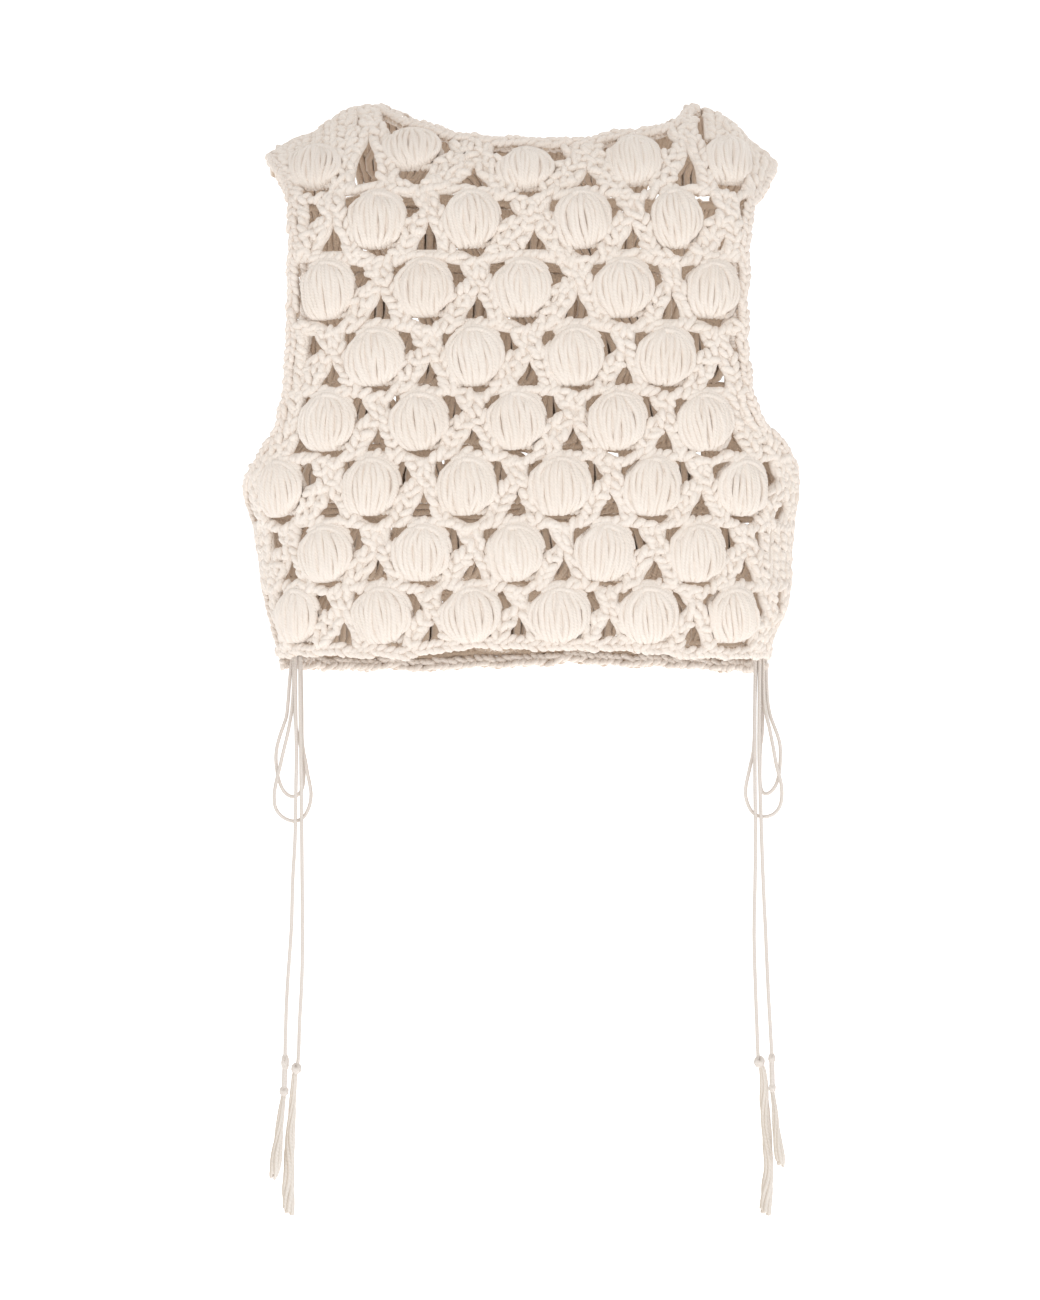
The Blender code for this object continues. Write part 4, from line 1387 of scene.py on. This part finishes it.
RIGHT_BOW = Bow(
    186.5,
    (
        (4.5, 0), (5.3, 20), (6, 34), (8, 46), (10.8, 54), (13.7, 61.7), (15.7, 69), (16.1, 77),
        (15.8, 85), (14.9, 93), (12.6, 100.8), (8.9, 106), (4.6, 108), (1.4, 105.4), (0.1, 98), (0, 86),
        (0.4, 72), (1.8, 60), (2, 46), (0.6, 30), (0.4, 14), (1.2, 0),
    ),
    (
        (2.4, 0), (2.6, 20), (3.2, 36), (5, 47), (7.2, 56), (8.6, 63), (10.1, 70.5), (11.4, 78),
        (12.9, 86), (14.9, 93.5), (16.6, 101), (17, 109), (15.6, 117), (11.6, 122.8), (5.4, 125.6),
        (-1.2, 125.2), (-6.4, 121.8), (-9.8, 115.4), (-11.4, 108.5), (-10.9, 100.5), (-9.2, 92.5),
        (-7.4, 84.5), (-5.6, 76), (-4.6, 64), (-4.3, 44), (-3.6, 20), (-2.8, 0),
    ),
    (
        FreeEnd(
            (
                (-3.8, 0), (-4.3, 34), (-4.4, 70), (-4.2, 104), (-3.7, 140), (-4.2, 178), (-4.9, 214),
                (-4.3, 246), (-2.9, 285), (-1.9, 312),
            ),
            (Lump(-0.8, 317.2, 4.2, 4.6),),
            (
                Wisp(1.4, 322.1, 2.6, 0), Wisp(2.7, 334, 3.3, 1), Wisp(3.3, 350, 3.8, 2),
                Wisp(5.2, 374, 4, 2.6), Wisp(6.4, 398, 3.8, 2.6), Wisp(5.4, 416, 4.8, 2),
                Wisp(3.6, 437, 5.2, 1),
            ),
        ),
        FreeEnd(
            (
                (-0.4, 0), (-0.8, 34), (-1, 74), (-0.2, 104), (1, 142), (2.3, 178), (4, 214), (6.1, 261),
                (8.2, 298), (8.9, 310),
            ),
            (Lump(8.9, 314.5, 2.8, 4), Lump(9.3, 337.5, 2.8, 3.6)),
            (
                Wisp(9.6, 341.6, 1.8, 0), Wisp(11.1, 355, 2.4, -1.2), Wisp(12.6, 373, 3.2, -2),
                Wisp(14.9, 390, 4.2, -2.4), Wisp(16, 399, 2.8, -2),
            ),
        ),
    ),
)


def smooth_route(stops: Array, step: float) -> Array:
    """Points an equal step apart on a smooth curve through a route's own points.

    Between two stops the curve is the cubic whose slope at each is half the way from the
    stop before it to the stop after it.

    Args:
        stops: The route's points, count x 3.
        step: About how far apart the new points are.

    Returns:
        The new points.
    """
    padded = np.concatenate([[2 * stops[0] - stops[1]], stops, [2 * stops[-1] - stops[-2]]])
    t = np.linspace(0, 1, 17)[:-1, None]
    a, b, c, d = (padded[i : len(padded) - 3 + i, None] for i in range(4))
    bend = (2 * a - 5 * b + 4 * c - d) * t**2 + (3 * b - 3 * c + d - a) * t**3
    fine = (b + 0.5 * ((c - a) * t + bend)).reshape(-1, 3)
    return evenly(np.concatenate([fine, stops[-1:]]), step)


@dataclass
class SideLace:
    """The lace of one open side: its lacing, its bow, and the ends that hang from it."""

    form: Form
    hand: Hand
    bow: Bow
    lace: Material
    cotton: Material
    diameter: float = 2.8 * MM
    sides: int = 8
    layer: float = 3.2 * MM  # from one of the bow's cords to the next behind it
    knot_top: float = 420.5 * MM
    knot_bottom: float = 432.5 * MM
    knot_half: float = 6.6 * MM
    knot_cord: float = 1.75 * MM
    seam_gap: float = 0.3 * MM
    crossings: int = 5
    lace_top: float = 313 * MM
    lace_bottom: float = 405 * MM
    rise: float = 7.8 * MM  # of the lace over the knot, before it crosses
    swing: float = 7.7 * MM
    apart: float = 1.7 * MM
    step: float = 1.8 * MM
    strand: float = 2.1 * MM  # radius of the thick yarn of the tails
    tail_diameter: float = 7.0 * MM
    tail_step: float = 1.6 * MM
    tail_wind: float = 66 * MM  # length in which its strands wind to and fro
    shorter: tuple[float, ...] = (0.0, 3.2, 1.4, 5.0, 2.2)  # mm that each strand of a tail lacks
    # Degrees of a knot's rings about the front-to-back axis, and about the vertical.
    bow_tilts: tuple = ((12, 0), (-14, 0), (40, 25), (-42, -25), (76, 60), (80, -60))
    end_tilts: tuple = ((12, 10), (-34, -15), (48, 70), (66, 30), (-72, -40))

    @property
    def name(self) -> str:
        """The side's name in the pieces' names."""
        return self.hand.name.lower()

    def place(self, side: float, down: float, layer: float) -> tuple[float, float, float]:
        """A place on the bow, from its sizes in mm."""
        x = (self.bow.x + side) * MM
        return (x, layer * self.layer, -(self.knot_bottom + self.seam_gap + down * MM))

    def cord(self, node: str, route: list | Array, radius: float | None = None) -> tuple[Piece, Array]:
        """Make a round cord along a route, and give it with the points that it follows."""
        points = smooth_route(np.array(route, float), self.step)
        level = np.abs(heading(points)[:, 1:2]) > 0.8
        across = np.where(level, [1.0, 0.0, 0.0], [0.0, 1.0, 0.0])
        tube = tubes(points[None], across[None], radius or self.diameter / 2, self.sides)
        return in_place_of(node, "cord", [tube], self.lace), points

    def lacing_route(self) -> Array:
        """Up from the knot on the outer run, over at the top, and down on the inner run.

        Each run swings from one side edge to the other as the cosine of its height.
        """
        side = self.hand.value
        phase = np.linspace(0, self.crossings * math.pi, 4 * self.crossings + 1)
        drop = self.lace_bottom - (self.lace_bottom - self.lace_top) * phase / phase[-1]
        line = side * self.form.side_line(side, drop)
        swing = self.swing * np.cos(phase)
        outer = np.stack([line + side * self.apart, swing, -drop], axis=-1)
        inner = np.stack([line - side * self.apart, -swing, -drop], axis=-1)
        foot = np.array([self.bow.x * MM, 0, -(self.knot_top - self.seam_gap)])
        off = self.apart * np.array([side, 1, 0])
        rise = np.array([0, 0, self.rise])
        ends = [foot + off, foot + off + rise], [foot - off + rise, foot - off]
        return np.concatenate([ends[0], outer, inner[::-1], ends[1]])

    def knot(
        self, node: str, middle: tuple, half_width: float, half_height: float, radius: float, tilts: tuple
    ) -> Piece:
        """Tie a knot: rings of cord round its middle, each tilted another way.

        Args:
            node: The CAD node that it replaces.
            middle: Of the knot.
            half_width: Of the knot, over the cord.
            half_height: Of the knot, over the cord.
            radius: Of the cord.
            tilts: Degrees of each ring about the front-to-back axis, and about the vertical.

        Returns:
            The knot.
        """
        turn = np.linspace(0, TURN, 29)[:-1]
        across, tall = half_width - radius, max(half_height - radius, 0.5 * MM)
        tilt, swivel = np.radians(tilts).T[..., None]
        x, y = across * np.cos(turn) * np.cos(tilt), across * np.sin(turn)
        z = tall * np.cos(turn) * np.sin(tilt)
        ring = [x * np.cos(swivel) - y * np.sin(swivel), x * np.sin(swivel) + y * np.cos(swivel), z]
        turned = np.stack(ring, axis=-1)
        rings = tubes(np.array(middle) + turned, unit(turned), radius, 9, closed=True)
        return in_place_of(node, "wraps", [rings], self.lace)

    def add_lacing(self) -> None:
        """The lace that crosses between the side edges, and the bow's knot."""
        lacing, path = self.cord(f"lacing_{self.name}", self.lacing_route())
        middle = (self.bow.x * MM, 0.0, -(self.knot_top + self.knot_bottom) / 2)
        tall = (self.knot_bottom - self.knot_top) / 2 + self.seam_gap
        size = (self.knot_half, tall, self.knot_cord)
        knot = self.knot(f"bow_knot_{self.name}", middle, *size, self.bow_tilts)

    def add_loop(self, size: str, stops: Route, layer: int) -> None:
        """One loop of the bow, from the knot and back into it."""
        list(self.cord(f"{size}_loop_{self.name}", [self.place(*stop, layer) for stop in stops]))

    def add_end(self, number: int, end: FreeEnd) -> None:
        """One free end: its cord, its knots, the link between them and its tail."""
        suffix = f"{self.name}_{number}"
        knots = [self.place(knot.side, knot.down, -1) for knot in end.knots]
        cord, path = self.cord(f"free_end_{suffix}", [self.place(*stop, -1) for stop in end.cord] + knots[:1])
        for order, (knot, middle) in enumerate(zip(end.knots, knots), 1):
            size = np.array([1.06 * knot.half_width, 1.1 * knot.half_height, min(1.5, knot.half_width / 2)])
            self.knot(f"end_knot_{suffix}_{order}", middle, *(size * MM), self.end_tilts)
        if len(knots) == 2:
            self.cord(f"knot_link_{suffix}", knots, radius=self.strand)[0]
        self.add_tail(suffix, (Wisp(*end.knots[-1][:2], 1.8, 0), *end.tail))

    def add_tail(self, suffix: str, tail: tuple[Wisp, ...]) -> None:
        """A tail of thick yarn: strands round a middle line, slowly winding, that end one after another.

        A strand's place beside the middle line is a share of the tail's half width there, on a
        flat ellipse whose angle goes to and fro as the sine of the length.

        Args:
            suffix: The end's name.
            tail: Its places.
        """
        layers = [-1 + wisp.back * MM / self.layer for wisp in tail]
        stops = np.array([self.place(wisp.side, wisp.down, layer) for wisp, layer in zip(tail, layers)])
        middle = smooth_route(stops, self.tail_step)
        run = along(middle)
        half = joined(-stops[:, 2], np.array([wisp.half_width for wisp in tail]) * MM, -middle[:, 2])
        strands = len(self.shorter)
        at = (run[-1] - np.array(self.shorter)[:, None] * MM) * np.linspace(0, 1, len(run))
        width = np.interp(at, run, half)
        angle = TURN * np.arange(strands)[:, None] / strands + 0.4 + 0.8 * np.sin(TURN * at / self.tail_wind)
        round_it = np.stack([np.cos(angle), 0.6 * np.sin(angle), 0 * angle], axis=-1)
        points = at_run(at, run, middle) + round_it * (0.56 * width)[..., None]
        radius = np.clip(0.46 * width, 0.8 * MM, self.strand)
        surface = tubes(points, np.array([0.0, 1.0, 0.0]), radius, self.sides)
        piece = in_place_of(f"tail_{suffix}", "yarn", [surface], self.cotton)

    def build(self) -> None:
        """Make everything on this side."""
        self.add_lacing()
        self.add_loop("small", self.bow.small_loop, 1)
        self.add_loop("large", self.bow.large_loop, 0)
        for number, end in enumerate(self.bow.ends, 1):
            self.add_end(number, end)


# ---- Studio --------------------------------------------------------------------------


class Light(NamedTuple):
    """A square soft light that points at a place, with its size in metres and its power in watts."""

    name: str
    place: tuple[float, float, float]
    aim: tuple[float, float, float]
    size: float
    power: float


@dataclass
class Studio:
    """A white sweep, soft lights and a level camera in front of the top."""

    camera_place: tuple[float, float, float] = (-0.0015, -3.09, -0.428)
    lens: float = 109.3
    sweep_white: float = 0.95
    sweep_glow: float = 0.55
    world_glow: float = 0.58
    floor: float = -1.15  # its height
    ahead: float = -7.0  # how far the floor comes forward, as a place along Y
    behind: float = 4.4  # where the backdrop stands
    curve: float = 1.4  # radius between them
    tall: float = 6.0
    half: float = 7.0  # of the sweep's width
    lights: tuple[Light, ...] = (
        Light("key", (-1.5, -2.6, 1.2), (0.0, 0.0, -0.35), 1.6, 15),
        Light("over", (0.0, -1.0, 1.8), (0.0, 0.0, -0.1), 1.4, 3.5),
        Light("fill", (1.9, -2.2, 0.2), (0.0, 0.0, -0.35), 1.8, 9),
        Light("rear", (0.3, 1.2, 1.6), (0.0, 0.0, -0.35), 1.6, 10),
    )

    def add_camera(self) -> None:
        """A camera that looks level along +Y."""
        data = bpy.data.cameras.new("camera")
        data.lens = self.lens
        data.sensor_width = 36.0
        data.clip_end = 50
        camera = put("camera", data)
        camera.location = self.camera_place
        camera.rotation_euler = (math.radians(90), 0, 0)
        bpy.context.scene.camera = camera

    def add_sweep(self) -> None:
        """A floor that curves up into a backdrop: a profile of a level, a quarter circle and an upright."""
        bend = np.linspace(0, math.pi / 2, 24)
        y = np.concatenate([[self.ahead], self.behind - self.curve * (1 - np.sin(bend)), [self.behind]])
        z = self.floor + np.concatenate([[0], self.curve * (1 - np.cos(bend)), [self.tall]])
        x = np.array([-self.half, self.half])
        grid = np.stack(np.broadcast_arrays(x[None, :], y[:, None], z[:, None]), axis=-1)
        index = np.arange(grid.shape[0] * 2).reshape(-1, 2)
        quads = np.stack([index[:-1, 0], index[:-1, 1], index[1:, 1], index[1:, 0]], axis=-1)
        mesh = bpy.data.meshes.new("studio_sweep")
        mesh.from_pydata(grid.reshape(-1, 3).tolist(), [], quads.tolist())
        mesh.shade_smooth()
        shader = Shader("studio_white")
        shader.shine("Base Color", Colour(self.sweep_white, self.sweep_white, self.sweep_white))
        shader.shine("Roughness", 1.0)
        shader.shine("Emission Color", Colour(1, 1, 1))
        shader.shine("Emission Strength", self.sweep_glow)
        mesh.materials.append(shader.material)
        put("studio_sweep", mesh)

    @staticmethod
    def add_light(light: Light) -> None:
        """Put up one light."""
        data = bpy.data.lights.new(light.name, "AREA")
        data.shape = "SQUARE"
        data.size = light.size
        data.energy = light.power
        lamp = put(light.name, data)
        lamp.location = light.place
        x, y, z = np.subtract(light.aim, light.place)
        lamp.rotation_euler = (math.atan2(math.hypot(x, y), -z), 0, math.atan2(y, x) - math.pi / 2)

    def build(self) -> None:
        """Set up the camera, the sweep, the lights and the plain view transform."""
        scene = bpy.context.scene
        self.add_camera()
        self.add_sweep()
        scene.world = bpy.data.worlds.new("studio")
        scene.world.use_nodes = True
        background = scene.world.node_tree.nodes["Background"].inputs
        background["Color"].default_value = Colour(1, 1, 1)
        background["Strength"].default_value = self.world_glow
        for light in self.lights:
            self.add_light(light)
        scene.view_settings.view_transform = "Standard"
        scene.view_settings.look = "None"
        scene.view_settings.exposure = 0.0
        scene.view_settings.gamma = 1.0


def main() -> None:
    """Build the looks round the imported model, piece by piece."""
    logging.basicConfig(level=logging.INFO, format="%(message)s")
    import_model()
    form = Form()
    cotton, edge, lace, tail = (finish.make() for finish in (COTTON, EDGE_COTTON, LACE_COTTON, TAIL_COTTON))
    Studio().build()
    SideLace(form, Hand.LEFT, LEFT_BOW, lace, tail).build()
    SideLace(form, Hand.RIGHT, RIGHT_BOW, lace, tail).build()
    Edgings(form, edge).build()
    Panel(form, Facing.FRONT, FRONT_ROWS).build(cotton)
    plainer_puff = PuffShape(rings=9, sides=5, foot_right=0.06)
    closer_stitch = Stitches(
        length=10.0 * MM, radius=3.15 * MM, row=6.6 * MM, column=6.3 * MM, rings=5, sides=5,
        core_radius=2.9 * MM,
    )
    Panel(
        form, Facing.BACK, BackPlan().rows(form, FRONT_ROWS), plainer_puff, closer_stitch, gap_depth=0.5 * MM,
        band_below=20.9 * MM, fuller=4.4, closer=1.3, hem_band=8 * MM, to_neck=True,
    ).build(cotton)


if __name__ == "__main__":
    main()
